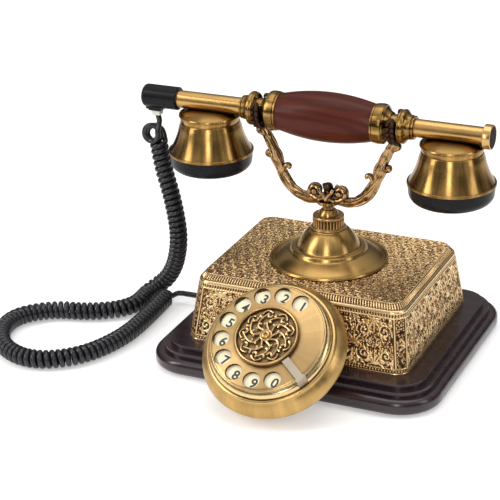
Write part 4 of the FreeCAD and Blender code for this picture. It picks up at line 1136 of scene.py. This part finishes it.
def make_rosette():
    """The medallion: a dark ground, a bright rim, and curling leaf stems round a knob."""
    turned("rosette_ground", [
        (0, 0.1), (21.4, 0.1), (21.5, 0.6), (21.5, 2.0, 0.9), (20.6, 3.1, 0.8), (19.5, 2.4),
        (19.2, 1.0), (0, 0.7)], "dial_wheel", "rosette_dark", "polished_brass",
        ["wheel_rosette"], DIAL, 120)
    bar("rosette_rim", [(flat_ring(20.5, 2.75, 120), 0.75, 1.0, UP)],
        "dial_wheel", "polished_brass", "polished_brass", (), 10, DIAL)
    parts = []
    for k in range(ROSETTE_STEMS):
        base = TAU * k / ROSETTE_STEMS
        line = [polar(3.6 + 12.6 * j / 16, base + 0.42 * math.sin(TAU * 0.62 * j / 16 + 0.2),
                      STEM_HEIGHT) for j in range(17)]
        parts.append((line, lambda t: 0.78 - 0.24 * t, 0.9, UP))
        for at_share, hand, size, turns in ((1.0, 1, 1.9, 0.62), (0.82, -1, 1.7, 0.42),
                                            (0.62, 1, 1.5, 0.38), (0.42, -1, 1.2, 0.34)):
            step = round(at_share * 16)
            root = line[step]
            ahead = (root - line[step - 1]).normalized()
            centre = root + ahead.cross(UP) * hand * size
            begin = math.atan2(root.y - centre.y, root.x - centre.x)
            curl = [centre + polar(size * (1 - 0.35 * j / 12), begin + hand * TAU * turns * j / 12,
                                   0.1) for j in range(13)]
            parts.append((curl, lambda t: 0.42 + 0.30 * math.sin(math.pi * t) + 0.30 * t, 0.9, UP))
        for lean, spread in ((-0.16, -0.26), (0.10, 0.24)):
            leaf = [polar(radius, base + 0.1 + lean + share * spread, LEAF_HEIGHT)
                    for radius, share in ((16.2, 0), (17.6, 0.4), (18.6, 1))]
            parts.append((smooth_line(leaf, 4), lambda t: 0.85 - 0.5 * t, 0.9, UP))
    bar("rosette_scrolls", parts, "dial_wheel", "scroll_brass", "polished_brass", (), 8, DIAL)
    turned("rosette_knob", [
        (0, 0.8), (4.4, 0.8), (4.4, 3.0, 0.7), (3.6, 3.6), (3.1, 3.3, -0.8), (2.8, 3.9, 0.9),
        (1.9, 4.9, 0.8), (1.2, 4.6), (1.0, 3.6), (0, 3.6)], "dial_wheel", "knob_brass",
        "pale_brass", ["rosette_screw"], DIAL, 48)


def make_wheel_trim():
    """The printed card under the wheel, and for each finger hole a digit and a wall painted dark as
    the shade inside the hole.
    """
    turned("digit_card", [
        (23.0, PLATE_TOP), (35.5, PLATE_TOP), (35.5, CARD_TOP - 0.3), (35.2, CARD_TOP),
        (23.3, CARD_TOP), (23.0, CARD_TOP - 0.3)], "base", "plate_ivory", "plate_ivory", (),
        DIAL, 120)
    for k in range(10):
        number = (k + 1) % 10
        hole = polar(HOLE_CIRCLE, FIRST_HOLE + k * HOLE_STEP, 0)
        # Painted shade: a dark wall just inside the hole, where shade falls on its far side.
        turned(f"hole_shade_sleeve_{number}", [
            (HOLE_RADIUS - 0.12, -0.10), (HOLE_RADIUS + 0.05, -0.10), (HOLE_RADIUS + 0.05, -1.9),
            (HOLE_RADIUS - 0.12, -1.9)][::-1], "dial_wheel", "painted_hole_shade", "pale_brass", (),
            DIAL @ Matrix.Translation(hole * MM), 40)
        text = bpy.data.curves.new(f"digit_{number}", "FONT")
        text.body = str(number)
        text.size = DIGIT_SIZE * MM
        text.align_x = text.align_y = "CENTER"
        text.extrude = 0.05 * MM
        text.offset = 0.20 * MM
        digit = put(text.name, text)
        text.materials.append(materials["digit_ink"])
        place = (hole + Vector((0, 0, CARD_TOP)) + DIGIT_SHIFT) * MM
        digit.matrix_world = (DIAL @ Matrix.Translation(place)
                              @ Matrix.Rotation(DIGIT_LEAN, 4, "Z"))
        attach(digit, "base")


def make_dial_rings():
    """The bright bead round the bezel, over the housing's shoulder, and the wheel's own rim."""
    turned("dial_bead", [
        (40.9, -8.4), (43.4, -9.2), (43.3, -8.2, 1.3), (42.2, -7.2, 1.3), (41.1, -7.4)],
        "base", "spun_dial_brass", "pale_brass", (), DIAL, 160)
    bar("wheel_edge", [(flat_ring(37.9, -1.3, 160), 0.75, 1.0, UP)],
        "dial_wheel", "rim_brass", "pale_brass", (), 10, DIAL)


make_rosette()
make_wheel_trim()
make_dial_rings()

# ---------------------------------------------------------------- handset


def along_handset(side):
    """The frame of pieces turned about the handset, their heights outward along +X or -X."""
    turn = Matrix.Rotation(side * math.pi / 2, 4, "Y")
    return Matrix.Translation(Vector((0, 0, HANDSET_Z)) * MM) @ turn


def make_grip_fittings():
    for name, side in SIDES:
        place = along_handset(side)
        turned(f"collar_{name}", [
            (6.2, 33.8), (12.9, 33.8, 0.5), (13.1, 34.4), (13.1, 34.9), (12.7, 35.3), (13.4, 35.6),
            (13.6, 38.2, 9), (13.2, 40.8, 0.8), (12.6, 41.4), (12.0, 41.5), (11.6, 42.0, -7),
            (8.6, 45.4), (6.2, 45.4)], "handset", "spun_dark_brass", "polished_brass",
            [f"grip_collar_{name}"], place)
        turned(f"bead_{name}", [
            (6.2, 45.5), (7.5, 45.5), (7.5, 50.6), (9.6, 51.0, 1.0), (10.9, 52.4, 2.2),
            (11.5, 54.2, 1.8), (10.4, 55.8, -4), (8.3, 58.2), (8.1, 58.8, 0.6), (8.0, 59.8),
            (7.3, 60.0), (7.3, 60.4, 0.5), (7.2, 61.8), (6.2, 61.8)], "handset",
            "spun_dark_brass", "polished_brass", [f"neck_bead_{name}"], place)
    turned("plug_rim", [
        (6.1, 108.4), (7.9, 108.4, 0.5), (8.15, 109.2), (8.15, 113.2, 0.5), (7.7, 113.75, 0.4),
        (7.35, 113.6), (7.35, 109.4), (6.1, 109.4)], "handset", "polished_brass", "antique_brass",
        (), along_handset(1))


def make_cups():
    for name, side in (("mouth_cup", -1), ("ear_cup", 1)):
        turned(f"{name}_bell", [
            (27.6, 131.5), (29.25, 131.5, 0.6), (29.3, 132.4, 0.5), (28.4, 133.2, -50),
            (21.6, 150.6, -60), (20.4, 153.8), (20.0, 154.1), (20.2, 154.5, 9), (20.6, 157.2),
            (21.2, 157.7, 0.8), (21.2, 158.9, 0.7), (20.3, 159.4), (19.6, 159.0),
            (19.2, 159.2, 24), (6.0, 161.4), (0, 161.4), (0, 158.6), (17.5, 157.6),
            (19.0, 153.6, 60), (26.4, 133.6)], "handset", "spun_dark_brass", "antique_brass",
            [name], Matrix.Translation(Vector((side * CUP_X, 0, 0)) * MM), 128)


make_grip_fittings()
make_cups()
